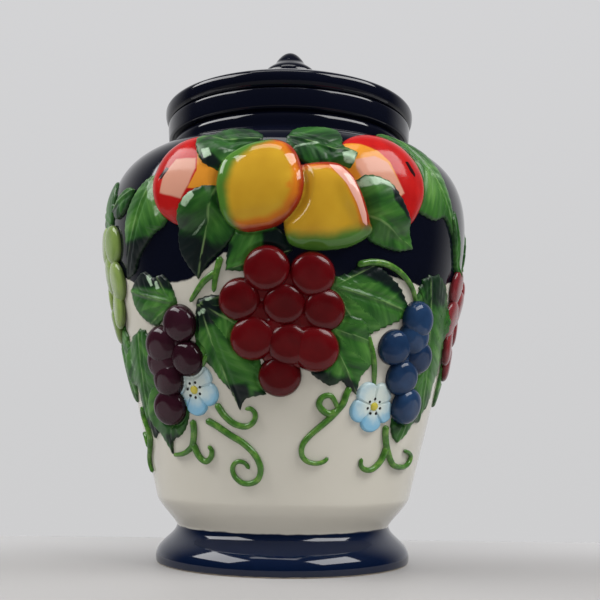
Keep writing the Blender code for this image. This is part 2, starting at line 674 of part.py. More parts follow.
def front_forms(wall):
    """The garland on the front, from the pieces against the wall to those in front of them."""
    return [
        drawn_leaf("leaf_far_left", wall,
                   (-57.5, 0.572), (-52.5, 0.582), (-49.5, 0.608), (-45.5, 0.632), (-41.0, 0.655),
                   (-36.0, 0.675), (-35.0, 0.745), (-40.5, 0.785), (-45.0, 0.775), (-48.5, 0.758),
                   (-52.5, 0.728), (-55.2, 0.690), (-55.8, 0.640)),
        drawn_leaf("leaf_edge_left", wall,
                   (-66.0, 0.735), (-62.0, 0.712), (-57.5, 0.715), (-53.0, 0.735), (-50.5, 0.762),
                   (-54.5, 0.772), (-59.5, 0.765), (-63.5, 0.752)),
        drawn_leaf("leaf_far_right", wall,
                   (58.5, 0.682), (57.5, 0.730), (55.0, 0.775), (50.5, 0.820), (46.0, 0.836),
                   (41.0, 0.812), (38.0, 0.765), (39.5, 0.712), (43.0, 0.702), (47.5, 0.700),
                   (52.5, 0.712)),
        drawn_leaf("leaf_edge_right", wall,
                   (67.5, 0.598), (66.2, 0.660), (62.5, 0.705), (58.0, 0.738), (55.5, 0.715),
                   (58.5, 0.680), (61.5, 0.645), (64.5, 0.610)),
        drawn_leaf("leaf_over_purple", wall,
                   (-56.5, 0.545), (-54.8, 0.505), (-50.0, 0.474), (-44.5, 0.460), (-39.0, 0.482),
                   (-34.5, 0.503), (-36.5, 0.545), (-39.5, 0.565), (-43.5, 0.562), (-47.5, 0.578),
                   (-51.5, 0.568)),
        drawn_leaf("leaf_beside_purple", wall,
                   (-58.8, 0.215), (-54.5, 0.235), (-51.0, 0.290), (-48.0, 0.350), (-47.5, 0.410),
                   (-51.5, 0.452), (-57.0, 0.455), (-64.0, 0.432), (-70.5, 0.388), (-69.0, 0.345),
                   (-64.5, 0.328), (-63.5, 0.275)),
        hanging_leaf("leaf_under_purple", wall, -43.8, 0.385,
                     (-0.45, -4.45), (-0.25, -3.80), (0.35, -3.55), (0.90, -2.95), (1.25, -1.85), (0.80, -1.00),
                     (-0.15, -0.85), (-1.10, -1.30), (-1.70, -2.20), (-1.50, -3.05), (-0.95, -3.70)),
        drawn_leaf("leaf_beside_blue", wall,
                   (59.8, 0.258), (61.2, 0.285), (64.5, 0.300), (64.8, 0.345), (67.2, 0.385),
                   (65.8, 0.450), (63.0, 0.520), (57.5, 0.572), (51.0, 0.585), (44.5, 0.562),
                   (42.5, 0.480), (45.0, 0.380), (48.5, 0.300), (53.5, 0.262)),
        hanging_leaf("leaf_under_blue", wall, 44.5, 0.462,
                     (0.30, -5.45), (0.75, -5.15), (1.25, -4.35), (0.75, -3.30), (0.00, -3.30), (-0.40, -4.35),
                     (-0.15, -5.10)),
        drawn_leaf("leaf_left_of_red", wall,
                   (-15.0, 0.272), (-13.0, 0.300), (-6.0, 0.310), (-7.5, 0.370), (-12.5, 0.440),
                   (-17.0, 0.505), (-22.0, 0.515), (-27.5, 0.510), (-28.2, 0.470), (-26.5, 0.420),
                   (-24.3, 0.385), (-21.0, 0.372), (-20.3, 0.346), (-17.8, 0.335)),
        drawn_leaf("leaf_right_of_red", wall,
                   (41.5, 0.493), (36.0, 0.540), (31.5, 0.563), (27.0, 0.582), (22.5, 0.588),
                   (18.0, 0.563), (13.0, 0.545), (12.0, 0.490), (17.0, 0.440), (25.0, 0.438),
                   (31.0, 0.455), (36.5, 0.472)),
        drawn_leaf("leaf_below_red", wall,
                   (24.8, 0.312), (25.2, 0.350), (28.8, 0.383), (27.2, 0.425), (23.0, 0.470),
                   (15.0, 0.475), (8.5, 0.450), (6.5, 0.400), (8.0, 0.358), (11.5, 0.340),
                   (15.0, 0.330), (18.5, 0.342), (21.5, 0.325)),
        drawn_leaf("leaf_over_red", wall,
                   (1.5, 0.602), (0.5, 0.625), (-3.0, 0.648), (-8.0, 0.662), (-14.5, 0.645),
                   (-16.8, 0.600), (-17.5, 0.563), (-10.0, 0.560), (-4.0, 0.570)),
        apple("apple_left", -27.5, 0.757, 0.95),
        apple("apple_right", 26.5, 0.772, 1.06),
        drawn_leaf("leaf_top_left", wall,
                   (-28.5, 0.862), (-24.8, 0.822), (-23.0, 0.795), (-19.8, 0.783), (-13.0, 0.815),
                   (-4.5, 0.845), (-4.0, 0.868), (-9.0, 0.882), (-14.0, 0.893), (-20.0, 0.890),
                   (-24.5, 0.880)),
        drawn_leaf("leaf_top_right", wall,
                   (19.5, 0.818), (17.5, 0.868), (15.0, 0.892), (10.0, 0.900), (4.5, 0.888),
                   (-0.5, 0.862), (0.2, 0.812), (3.5, 0.785), (9.0, 0.775), (15.0, 0.783)),
        drawn_leaf("leaf_mid_left", wall,
                   (-28.0, 0.562), (-22.0, 0.592), (-16.0, 0.628), (-14.0, 0.665), (-15.5, 0.705),
                   (-18.5, 0.745), (-24.0, 0.757), (-28.5, 0.748), (-32.5, 0.722), (-33.0, 0.690),
                   (-32.4, 0.650), (-31.6, 0.605)),
        drawn_leaf("leaf_mid_right", wall,
                   (38.0, 0.630), (37.8, 0.690), (35.0, 0.735), (30.0, 0.765), (24.0, 0.778),
                   (18.0, 0.765), (17.0, 0.722), (20.0, 0.665), (22.5, 0.635), (27.0, 0.622),
                   (33.0, 0.617)),
        peach("peach_right", 10.5, 0.688, 20.0, 1.0),
        peach("peach_left", -7.4, 0.745, -15.0),
        bunch("grapes_red", "red_grape", wall, -0.5, 0.495,
              [(-0.75, 1.45), (1.10, 1.25), (-1.85, 0.20), (1.60, -0.20), (-1.25, -1.40), (0.20, -1.65),
               (1.25, -1.80), (-0.15, -3.00)], 1.06),
        bunch("grapes_purple", "purple_grape", wall, -43.8, 0.385,
              [(1.30, 1.65), (-0.20, 1.10), (1.45, 0.05), (-0.05, -1.10), (-0.35, -2.30)]),
        bunch("grapes_blue", "blue_grape", wall, 44.5, 0.462,
              [(-1.25, -1.00), (0.55, -1.30), (-0.45, -2.35), (0.15, -3.65)]),
        flower("flower_left", -31.4, 0.321, 198.0),
        flower("flower_right", 31.6, 0.291, 198.0),
    ]


def side_forms(wall):
    """The bunches and leaves that wrap round both sides."""
    return [
        leaf("leaf_green_top", -78.0, 0.760, 0.95, 0.68, 160.0),
        leaf("leaf_green_low", -76.0, 0.400, 1.00, 0.70, -80.0),
        leaf("leaf_side_top", 97.0, 0.690, 1.05, 0.67, 20.0),
        leaf("leaf_side_low", 84.0, 0.395, 0.95, 0.68, -100.0),
        bunch("grapes_green", "green_grape", wall, -75.0, 0.600,
              [(1.40, 1.30), (-0.40, 1.55), (-1.95, 0.65), (1.40, -0.55), (-1.50, -1.00), (0.75, -1.85),
               (-0.40, -2.60)], lift=SIDE_BERRY_LIFT),
        bunch("grapes_side_red", "red_grape", wall, 77.0, 0.530,
              [(-1.35, 1.00), (1.50, 0.85), (-1.35, -0.65), (1.15, -0.85), (-0.50, -1.95), (0.50, -2.70)],
              lift=SIDE_BERRY_LIFT),
    ]


def back_forms(wall):
    """The plainer garland round the back, from the same forms."""
    return [
        leaf("leaf_back_left", -122.0, 0.660, 1.30, 0.57, 172.0),
        leaf("leaf_back_right", 122.0, 0.660, 1.30, 0.57, 8.0),
        vine_leaf("leaf_back_low_left", -160.0, 0.440, -60.0),
        vine_leaf("leaf_back_low_right", 160.0, 0.440, -120.0),
        apple("apple_back", 160.0, 0.735),
        peach("peach_back", -176.0, 0.700, 12.0),
        bunch("grapes_back", "purple_grape", wall, 180.0, 0.500,
              [(-1.30, 1.10), (1.40, 1.10), (-1.35, -0.85), (1.35, -0.75), (0.65, -2.20), (-0.50, -3.40)]),
    ]


def vines():
    """Stalks and tendrils: each branch is a route of (azimuth, climb) places."""
    hook = [(-23.5, 0.292), (-21.0, 0.268), (-17.5, 0.250), (-13.5, 0.244), (-10.7, 0.253), (-9.9, 0.269),
            (-11.3, 0.281), (-13.4, 0.280)]
    scroll = [(-28.2, 0.257), (-24.4, 0.246), (-19.5, 0.227), (-14.5, 0.209), (-10.6, 0.186), (-8.6, 0.160),
              (-9.3, 0.137), (-12.0, 0.126), (-15.7, 0.126), (-18.6, 0.139), (-19.3, 0.157), (-17.4, 0.170),
              (-14.4, 0.168), (-12.8, 0.155)]
    fork_left = [(-33.9, 0.258), (-33.9, 0.235), (-35.3, 0.206), (-37.6, 0.193), (-41.3, 0.184), (-46.5, 0.181)]
    fork_left_curl = [(-35.1, 0.208), (-33.2, 0.181), (-30.4, 0.169), (-27.9, 0.178), (-27.2, 0.193),
                      (-28.6, 0.203)]
    loop = [(20.3, 0.312), (19.7, 0.295), (17.7, 0.279), (15.7, 0.265), (12.3, 0.246), (8.5, 0.225),
            (6.4, 0.206), (6.4, 0.186), (8.5, 0.173), (11.8, 0.169), (14.6, 0.173), (16.2, 0.182)]
    loop_curl = [(17.9, 0.280), (15.2, 0.273), (12.7, 0.280), (11.3, 0.293), (12.3, 0.307), (14.7, 0.311),
                 (16.4, 0.302)]
    fork_right = [(38.6, 0.252), (39.5, 0.227), (41.6, 0.200), (46.0, 0.169), (50.9, 0.160), (55.9, 0.161),
                  (59.1, 0.171), (59.3, 0.184), (56.5, 0.192), (52.6, 0.196)]
    fork_right_curl = [(41.1, 0.206), (39.4, 0.176), (35.8, 0.157), (32.1, 0.156), (29.9, 0.166), (29.9, 0.181)]
    edge_left = [(-64.0, 0.290), (-65.2, 0.272), (-64.6, 0.255), (-63.4, 0.238), (-63.4, 0.216),
                 (-66.5, 0.193), (-71.0, 0.172), (-73.0, 0.156), (-71.0, 0.137)]
    edge_left_branch = [(-66.2, 0.195), (-67.5, 0.208), (-68.7, 0.222), (-71.5, 0.229)]
    stalk_left = [(-18.6, 0.592), (-20.3, 0.556), (-21.4, 0.520)]
    stalk_left_branch = [(-20.1, 0.562), (-24.6, 0.541), (-29.5, 0.503)]
    stalk_blue = [(20.0, 0.580), (24.2, 0.588), (29.5, 0.587), (35.1, 0.572), (40.0, 0.546), (43.2, 0.512)]
    stalk_flower_right = [(25.7, 0.440), (29.1, 0.385), (31.2, 0.330)]
    back_left = [(-170.0, 0.330), (-163.0, 0.290), (-155.0, 0.270), (-148.0, 0.285), (-147.0, 0.310),
                 (-151.5, 0.318)]
    back_right = [(168.0, 0.330), (162.0, 0.290), (154.0, 0.270), (147.5, 0.285), (147.0, 0.310),
                  (151.5, 0.318)]
    return [
        ("tendril_hook", [hook], TENDRIL_RADIUS),
        ("tendril_scroll", [scroll], TENDRIL_RADIUS),
        ("tendril_fork_left", [fork_left, fork_left_curl], TENDRIL_RADIUS),
        ("tendril_loop", [loop, loop_curl], TENDRIL_RADIUS),
        ("tendril_fork_right", [fork_right, fork_right_curl], TENDRIL_RADIUS),
        ("tendril_edge_left", [edge_left, edge_left_branch], TENDRIL_RADIUS),
        ("tendril_back_left", [back_left], TENDRIL_RADIUS),
        ("tendril_back_right", [back_right], TENDRIL_RADIUS),
        ("stalk_grape_left", [stalk_left, stalk_left_branch], STEM_RADIUS),
        ("stalk_blue", [stalk_blue], STEM_RADIUS),
        ("stalk_flower_right", [stalk_flower_right], STEM_RADIUS),
    ]


def add_form(form, wall, parts, cutters):
    """Make one relief piece, a bunch being the union of its grapes."""
    first = form[0]
    piece = add_object(first.name, sprig_mesh(first, wall), parts, first.kind)
    for berry in form[1:]:
        other = add_object(berry.name, sprig_mesh(berry, wall), cutters)
        hide(other)
        combine(piece, other, "UNION")
    return piece


def cut_back(piece, centre, reach, form, cutter_objects, wall):
    """Trim a piece by each sprig of a form in front of it that comes within reach."""
    for sprig, cutter in zip(form, cutter_objects):
        middle = wall.point(sprig.azimuth, sprig.climb)
        if (middle - centre).length < reach + sprig.reach() + ORNAMENT_CLEARANCE:
            combine(piece, cutter, "DIFFERENCE")


def build_ornament(wall, parts, cutters):
    """Model every relief form and trim each one by those that lie in front of it."""
    forms = back_forms(wall) + side_forms(wall) + front_forms(wall)
    pieces = [add_form(form, wall, parts, cutters) for form in forms]
    blades = []
    for form in forms:
        blades.append([add_object(s.name + "_cutter", cutter_mesh(s, wall), cutters) for s in form])
        for blade in blades[-1]:
            hide(blade)
    for low, piece in enumerate(pieces):
        centre, reach = spread(forms[low], wall)
        for high in range(low + 1, len(forms)):
            cut_back(piece, centre, reach, forms[high], blades[high], wall)
    for name, routes, radius in vines():
        vine = add_vine(name, routes, radius, wall, parts, cutters)
        places = [wall.point(*place) for route in routes for place in route]
        centre = sum(places, Vector()) / len(places)
        reach = max((place - centre).length for place in places) + radius
        for form, blade in zip(forms, blades):
            cut_back(vine, centre, reach, form, blade, wall)
        pieces.append(vine)
    for piece in pieces:
        settle(piece)
    return pieces


def spread(form, wall):
    """Centre and reach of a form, taken over all its sprigs."""
    middles = [wall.point(s.azimuth, s.climb) for s in form]
    centre = sum(middles, Vector()) / len(middles)
    return centre, max((m - centre).length + s.reach() for m, s in zip(middles, form))


def build_jar():
    """Build the whole jar."""
    clear_scene()
    parts = make_collection("cookie_jar")
    cutters = make_collection("construction")
    turn_piece("jar_body", body_outline(), TURN_STEPS, "cream", parts)
    turn_piece("lid", lid_outline(), TURN_STEPS, "navy", parts)
    turn_piece("lid_knob", knob_outline(), KNOB_STEPS, "navy", parts)
    build_ornament(WallMap(), parts, cutters)


build_jar()
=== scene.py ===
# %% [markdown]
# # A covered cookie jar with moulded fruit, dressed for the camera
# The jar is one turned stoneware vessel with a loose lid. Its fruit, leaves and vines are low relief that
# was pressed in the mould, then painted and glazed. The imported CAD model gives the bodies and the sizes.
# This lesson puts a finer surface in place of each of its pieces, and never moves a CAD piece. Everything
# is in metres, +Z is up and the front faces -Y.

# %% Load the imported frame
from dataclasses import dataclass
from itertools import combinations
from math import atan2, cos, pi, radians, sin, tau
from typing import Callable

import bmesh
import bpy
import numpy as np
from mathutils import Matrix, Vector


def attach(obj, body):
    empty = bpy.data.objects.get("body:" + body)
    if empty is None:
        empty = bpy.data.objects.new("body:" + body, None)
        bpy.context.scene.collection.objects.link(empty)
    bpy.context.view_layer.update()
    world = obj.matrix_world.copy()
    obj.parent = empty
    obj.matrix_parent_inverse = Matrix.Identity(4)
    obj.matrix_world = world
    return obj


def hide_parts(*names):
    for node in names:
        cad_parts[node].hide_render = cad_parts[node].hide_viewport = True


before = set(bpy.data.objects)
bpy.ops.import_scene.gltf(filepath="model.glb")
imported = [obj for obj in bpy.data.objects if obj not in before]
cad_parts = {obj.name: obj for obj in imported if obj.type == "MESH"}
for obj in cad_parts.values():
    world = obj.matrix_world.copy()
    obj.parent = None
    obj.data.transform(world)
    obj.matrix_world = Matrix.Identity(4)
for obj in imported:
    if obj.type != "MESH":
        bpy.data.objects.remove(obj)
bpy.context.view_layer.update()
print("nodes in the frame:", len(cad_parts))

# %% [markdown]
# ## Small tools for building node trees
# Geometry trees and material trees are built from the same kind of nodes, so one helper serves both. It
# adds a node, then sets each input or links it, depending on what it is given. Colours are written as
# they look on a screen, from 0 to 255, and turned into the linear values that the shaders need.

# %% Node helpers
def add(tree, kind, inputs=None, **settings):
    """Add a node with its settings, and set or link its inputs by name or number."""
    made = tree.nodes.new(kind)
    for name, value in settings.items():
        setattr(made, name, value)
    for key, value in (inputs or {}).items():
        if isinstance(value, bpy.types.NodeSocket):
            tree.links.new(value, made.inputs[key])
        else:
            made.inputs[key].default_value = value
    return made


def maths(tree, operation, *values, clamp=False):
    """One sum, product or other step on numbers."""
    return add(tree, "ShaderNodeMath", dict(enumerate(values)), operation=operation, use_clamp=clamp).outputs[0]


def apart(tree, vector):
    """The x, y and z of a vector."""
    return add(tree, "ShaderNodeSeparateXYZ", {0: vector}).outputs[:3]


def together(tree, x, y, z):
    """A vector from its x, y and z."""
    return add(tree, "ShaderNodeCombineXYZ", {0: x, 1: y, 2: z}).outputs[0]


def seen_as(red, green, blue):
    """A screen colour from 0 to 255 as the linear colour that a shader takes."""
    parts = [c / 255 for c in (red, green, blue)]
    return tuple(c / 12.92 if c <= 0.04045 else ((c + 0.055) / 1.055) ** 2.4 for c in parts)


# %% [markdown]
# ## The wall's outline
# The potter's template for the wall is a curve from the waist up to the root of the neck. It is drawn
# with the same Bezier handles as in the CAD, but with many more points, so that the belly has no facets.
# Every leaf and fruit is placed on this curve by its azimuth and its climb, the share of the curve's
# length above the waist.

# %% Outline of the wall
WAIST = (0.0555, 0.0185)
HIP = (0.0662, 0.0330)
BELLY = (0.0966, 0.1740)
NECK = (0.0606, 0.2136)
COLLAR_BOTTOM = 0.2230
RIM = 0.2335
WALL = 0.0050
FLOOR_TOP = 0.0090


def bend(start, out_of, into, end, steps):
    """Points along a Bezier curve, without the first."""
    t = np.linspace(0.0, 1.0, steps + 1)[1:, None]
    a, b, c, d = (np.array(p, dtype=float) for p in (start, out_of, into, end))
    return (1 - t) ** 3 * a + 3 * (1 - t) ** 2 * t * b + 3 * (1 - t) * t ** 2 * c + t ** 3 * d


def wall_line(waist_steps, flank_steps, shoulder_steps):
    """The outer wall as (radius, height) rows, from the waist to the root of the neck."""
    flare = HIP[1] - WAIST[1]
    flank = BELLY[1] - HIP[1]
    shoulder = NECK[1] - BELLY[1]
    return np.vstack([
        [WAIST],
        bend(WAIST, (WAIST[0] + 0.09 * flare, WAIST[1] + 0.21 * flare),
             (HIP[0] - 0.0675 * flare, HIP[1] - 0.27 * flare), HIP, waist_steps),
        bend(HIP, (HIP[0] + 0.0825 * flank, HIP[1] + 0.33 * flank), (BELLY[0], BELLY[1] - 0.20 * flank),
             BELLY, flank_steps),
        bend(BELLY, (BELLY[0], BELLY[1] + 0.69 * shoulder),
             (NECK[0] + 0.64 * (BELLY[0] - NECK[0]), NECK[1] - 0.045 * shoulder), NECK, shoulder_steps)])


wall = np.vstack([wall_line(30, 120, 60), [(NECK[0], COLLAR_BOTTOM)]])
wall_arcs = np.concatenate([[0.0], np.cumsum(np.hypot(*np.diff(wall, axis=0).T))])
WALL_LENGTH = wall_arcs[-2]
print("the wall's curve is", round(WALL_LENGTH * 1000, 1), "mm long")


def radius_at(climb):
    """The wall's outer radius at a climb."""
    return np.interp(np.asarray(climb) * WALL_LENGTH, wall_arcs, wall[:, 0])


# %% [markdown]
# ## Turning on the wheel
# The vessel, the lid and the knob are turned: one outline is carried round the axis. Blender's Screw
# modifier could do it. A Geometry Nodes tree is used here because it shows the rule plainly: a grid has
# one column for each point of the outline and one row for each step round, every vertex looks up its
# outline point, and a rotation about Z puts it in place. Merging by distance closes the seam and poles.

# %% The wheel's node tree
def new_tree(name, *sockets):
    """A geometry tree with a mesh in, a mesh out and named inputs, each (name, type)."""
    tree = bpy.data.node_groups.new(name, "GeometryNodeTree")
    tree.interface.new_socket("Geometry", in_out="INPUT", socket_type="NodeSocketGeometry")
    for label, kind in sockets:
        tree.interface.new_socket(label, in_out="INPUT", socket_type="NodeSocket" + kind)
    tree.interface.new_socket("Geometry", in_out="OUTPUT", socket_type="NodeSocketGeometry")
    return tree, add(tree, "NodeGroupInput").outputs


def end_tree(tree, geometry, glaze):
    """Smooth the surface, make instances real, set the glaze and send the mesh out."""
    smooth = add(tree, "GeometryNodeSetShadeSmooth", {"Geometry": geometry})
    real = add(tree, "GeometryNodeRealizeInstances", {"Geometry": smooth.outputs[0]})
    glazed = add(tree, "GeometryNodeSetMaterial", {"Geometry": real.outputs[0], "Material": glaze})
    add(tree, "NodeGroupOutput", {"Geometry": glazed.outputs[0]})


def wheel_tree():
    """Carry an outline of (radius, 0, height) points round the axis."""
    tree, given = new_tree("Turn on the wheel", ("Outline points", "Int"), ("Steps round", "Int"),
                           ("Glaze", "Material"))
    rows = maths(tree, "ADD", given["Steps round"], 1)
    grid = add(tree, "GeometryNodeMeshGrid", {"Size X": 1.0, "Size Y": 1.0,
                                              "Vertices X": given["Outline points"], "Vertices Y": rows})
    position = add(tree, "GeometryNodeInputPosition").outputs[0]
    x, y, _ = apart(tree, position)
    last = maths(tree, "SUBTRACT", given["Outline points"], 1)
    index = maths(tree, "ROUND", maths(tree, "MULTIPLY", maths(tree, "ADD", x, 0.5), last))
    turned = maths(tree, "MULTIPLY", maths(tree, "ADD", y, 0.5), tau)
    point = add(tree, "GeometryNodeSampleIndex", {"Geometry": given["Geometry"]}, data_type="FLOAT_VECTOR")
    tree.links.new(position, point.inputs["Value"])
    tree.links.new(index, point.inputs["Index"])
    placed = add(tree, "ShaderNodeVectorRotate", {"Vector": point.outputs[0], "Angle": turned},
                 rotation_type="Z_AXIS")
    moved = add(tree, "GeometryNodeSetPosition", {"Geometry": grid.outputs[0], "Position": placed.outputs[0]})
    closed = add(tree, "GeometryNodeMergeByDistance", {"Geometry": moved.outputs[0], "Distance": 0.00001})
    end_tree(tree, closed.outputs[0], given["Glaze"])
    return tree


wheel = wheel_tree()
print(wheel.name, "has", len(wheel.nodes), "nodes")

# %% [markdown]
# ## Laying a flat form on the wall
# A modeller rolls a leaf flat, then presses it on the curved wall. The next tree does the same: x runs
# across the wall, y up along it and z off it. It samples the wall's outline curve at the right length,
# takes the surface's square direction from the tangent, and turns the point about Z. The bend is exact,
# so a form keeps its size anywhere on the wall, which a Shrinkwrap would not promise. A small helper puts
# each new object in the scene.

# %% The wall's outline as a curve, and the laying tree
def in_scene(name, data):
    """A new object that holds some data, linked to the scene."""
    thing = bpy.data.objects.new(name, data)
    bpy.context.scene.collection.objects.link(thing)
    return thing


def outline_curve(name, rows):
    """A poly curve of (radius, height) rows in the XZ plane."""
    data = bpy.data.curves.new(name, "CURVE")
    data.dimensions = "3D"
    line = data.splines.new("POLY")
    line.points.add(len(rows) - 1)
    for point, (radius, height) in zip(line.points, rows):
        point.co = (radius, 0.0, height, 1.0)
    return in_scene(name, data)


wall_template = outline_curve("wall_template", wall)


def lay_on_wall(tree, geometry, given):
    """Nodes that bend flat geometry on to the wall."""
    position = add(tree, "GeometryNodeInputPosition").outputs[0]
    turn = maths(tree, "RADIANS", given["Turn"])
    x, y, lift = apart(tree, add(tree, "ShaderNodeVectorRotate", {"Vector": position, "Angle": turn},
                                 rotation_type="Z_AXIS").outputs[0])
    template = add(tree, "GeometryNodeObjectInfo", {"Object": given["Wall outline"]})
    arc = maths(tree, "ADD", maths(tree, "MULTIPLY", given["Climb"], WALL_LENGTH), y)
    sample = add(tree, "GeometryNodeSampleCurve", {"Curves": template.outputs["Geometry"], "Length": arc},
                 mode="LENGTH")
    radius, _, height = apart(tree, sample.outputs["Position"])
    run, _, rise = apart(tree, sample.outputs["Tangent"])
    out = maths(tree, "ADD", radius, maths(tree, "MULTIPLY", lift, rise))
    up = maths(tree, "SUBTRACT", height, maths(tree, "MULTIPLY", lift, run))
    angle = maths(tree, "ADD", maths(tree, "RADIANS", given["Azimuth"]), maths(tree, "DIVIDE", x, radius))
    placed = add(tree, "ShaderNodeVectorRotate",
                 {"Vector": together(tree, out, 0.0, up), "Angle": maths(tree, "SUBTRACT", angle, 0.5 * pi)},
                 rotation_type="Z_AXIS")
    laid = add(tree, "GeometryNodeSetPosition", {"Geometry": geometry, "Position": placed.outputs[0]})
    return laid.outputs[0]


WALL_SOCKETS = (("Wall outline", "Object"), ("Azimuth", "Float"), ("Climb", "Float"), ("Turn", "Float"),
                ("Glaze", "Material"))


def pressing_tree():
    """Lay one flat form on the wall."""
    tree, given = new_tree("Press on the wall", *WALL_SOCKETS)
    end_tree(tree, lay_on_wall(tree, given["Geometry"], given), given["Glaze"])
    return tree


pressing = pressing_tree()
print(pressing.name, "has", len(pressing.nodes), "nodes")

# %% [markdown]
# ## Bunches of grapes
# A bunch repeats one form, so its grapes are instances: each point of the input mesh gets a flattened
# ball. The lower half is pressed nearly flat, because it is inside the wall. Each ball stores where a
# vertex lies on it, and a random number, so that the glaze can vary from grape to grape. The same tree
# makes the black dots round a blossom's middle, with a smaller ball.

# %% The bunch tree
GRAPE_TILT = 0.10
GRAPE_SIZES = (0.95, 1.07)


def bunch_tree():
    """Flattened balls on points, then laid on the wall."""
    tree, given = new_tree("Bunch of grapes", *WALL_SOCKETS, ("Grape radius", "Float"), ("Lift", "Float"),
                           ("Sink", "Float"), ("Segments", "Int"), ("Seed", "Int"))
    rings = maths(tree, "DIVIDE", given["Segments"], 2)
    ball = add(tree, "GeometryNodeMeshUVSphere", {"Segments": given["Segments"], "Rings": rings, "Radius": 1.0})
    position = add(tree, "GeometryNodeInputPosition").outputs[0]
    noted = add(tree, "GeometryNodeStoreNamedAttribute",
                {"Geometry": ball.outputs[0], "Name": "form", "Value": position}, data_type="FLOAT_VECTOR")
    x, y, z = apart(tree, position)
    out = maths(tree, "SUBTRACT", 1.0, maths(tree, "MULTIPLY", z, z))
    rounded = maths(tree, "SQRT", maths(tree, "SUBTRACT", 1.0, maths(tree, "MULTIPLY", out, out), clamp=True))
    side = maths(tree, "GREATER_THAN", z, 0.0)
    above = maths(tree, "MULTIPLY", maths(tree, "MULTIPLY", rounded, side), given["Lift"])
    below = maths(tree, "MULTIPLY", maths(tree, "MINIMUM", z, 0.0), given["Sink"])
    flat = together(tree, maths(tree, "MULTIPLY", x, given["Grape radius"]),
                    maths(tree, "MULTIPLY", y, given["Grape radius"]), maths(tree, "ADD", above, below))
    grape = add(tree, "GeometryNodeSetPosition", {"Geometry": noted.outputs[0], "Position": flat})
    tilt = add(tree, "FunctionNodeRandomValue",
               {0: (-GRAPE_TILT, -GRAPE_TILT, 0.0), 1: (GRAPE_TILT, GRAPE_TILT, 0.0), "Seed": given["Seed"]},
               data_type="FLOAT_VECTOR")
    size = add(tree, "FunctionNodeRandomValue",
               {2: GRAPE_SIZES[0], 3: GRAPE_SIZES[1], "Seed": given["Seed"]})
    grapes = add(tree, "GeometryNodeInstanceOnPoints",
                 {"Points": given["Geometry"], "Instance": grape.outputs[0], "Rotation": tilt.outputs[0],
                  "Scale": size.outputs[1]})
    chance = add(tree, "FunctionNodeRandomValue", {"Seed": given["Seed"]})
    marked = add(tree, "GeometryNodeStoreNamedAttribute",
                 {"Geometry": grapes.outputs[0], "Name": "chance", "Value": chance.outputs[1]},
                 domain="INSTANCE")
    real = add(tree, "GeometryNodeRealizeInstances", {"Geometry": marked.outputs[0]})
    end_tree(tree, lay_on_wall(tree, real.outputs[0], given), given["Glaze"])
    return tree


grape_bunch = bunch_tree()
print(grape_bunch.name, "has", len(grape_bunch.nodes), "nodes")

# %% [markdown]
# ## Vines and tendrils
# A tendril is a rolled coil of clay that thins towards its tip. The tree lays the route on the wall,
# makes it a smooth curve, and sweeps a circle along it. The sweep's scale falls with the share of the
# way along, and rounds both ends off over their last radius, which a plain Bevel on a curve can't do.
# BLUNT is a little over 1, so that the ends stay blunt and don't close to a sharp point.

# %% The vine tree
VINE_SIDES = 14
BLUNT = 1.02


def vine_tree():
    """A tapering coil of clay with rounded ends along a route on the wall."""
    tree, given = new_tree("Trail a vine", *WALL_SOCKETS, ("Radius", "Float"), ("Tip share", "Float"),
                           ("Spacing", "Float"))
    laid = lay_on_wall(tree, given["Geometry"], given)
    route = add(tree, "GeometryNodeMeshToCurve", {"Mesh": laid})
    smooth = add(tree, "GeometryNodeCurveSplineType", {"Curve": route.outputs[0]}, spline_type="CATMULL_ROM")
    even = add(tree, "GeometryNodeResampleCurve", {"Curve": smooth.outputs[0], "Length": given["Spacing"]},
               mode="LENGTH")
    way = add(tree, "GeometryNodeSplineParameter").outputs
    whole = add(tree, "GeometryNodeSplineLength").outputs["Length"]
    loss = maths(tree, "MULTIPLY", maths(tree, "SUBTRACT", 1.0, given["Tip share"]),
                 maths(tree, "POWER", way["Factor"], 2.0))
    taper = maths(tree, "SUBTRACT", 1.0, loss)
    nearest = maths(tree, "MINIMUM", way["Length"], maths(tree, "SUBTRACT", whole, way["Length"]))
    gone = maths(tree, "SUBTRACT", 1.0, maths(tree, "DIVIDE", nearest, given["Radius"]), clamp=True)
    end = maths(tree, "SQRT", maths(tree, "SUBTRACT", BLUNT, maths(tree, "POWER", gone, 2.0)))
    ring = add(tree, "GeometryNodeCurvePrimitiveCircle", {"Resolution": VINE_SIDES, "Radius": given["Radius"]})
    coil = add(tree, "GeometryNodeCurveToMesh",
               {"Curve": even.outputs[0], "Profile Curve": ring.outputs[0],
                "Scale": maths(tree, "MULTIPLY", taper, end), "Fill Caps": True})
    end_tree(tree, coil.outputs[0], given["Glaze"])
    return tree


trailing = vine_tree()
print(trailing.name, "has", len(trailing.nodes), "nodes")

# %% [markdown]
# ## Running a tree, and finishing a piece
# A tree is run once on a plain mesh, and its result becomes a plain mesh too, because the export keeps
# no instances. A finished piece then rides on its body and stands for its CAD node. A closed mesh whose
# volume comes out negative is inside out, so it is turned round.

# %% Run and finish
def run_tree(tree, mesh, **values):
    """The mesh that a tree makes from another, with the tree's inputs set by their names."""
    maker = in_scene("maker", mesh)
    modifier = maker.modifiers.new("tree", "NODES")
    modifier.node_group = tree
    identifiers = {item.name: item.identifier for item in tree.interface.items_tree if item.in_out == "INPUT"}
    for name, value in values.items():
        modifier[identifiers[name.replace("_", " ")]] = value
    made = bpy.data.meshes.new_from_object(maker.evaluated_get(bpy.context.evaluated_depsgraph_get()))
    bpy.data.objects.remove(maker)
    return made


def turn_out(mesh):
    """Make a closed mesh's faces point outwards."""
    shape = bmesh.new()
    shape.from_mesh(mesh)
    if shape.calc_volume(signed=True) < 0.0:
        bmesh.ops.reverse_faces(shape, faces=shape.faces[:])
    shape.to_mesh(mesh)
    shape.free()


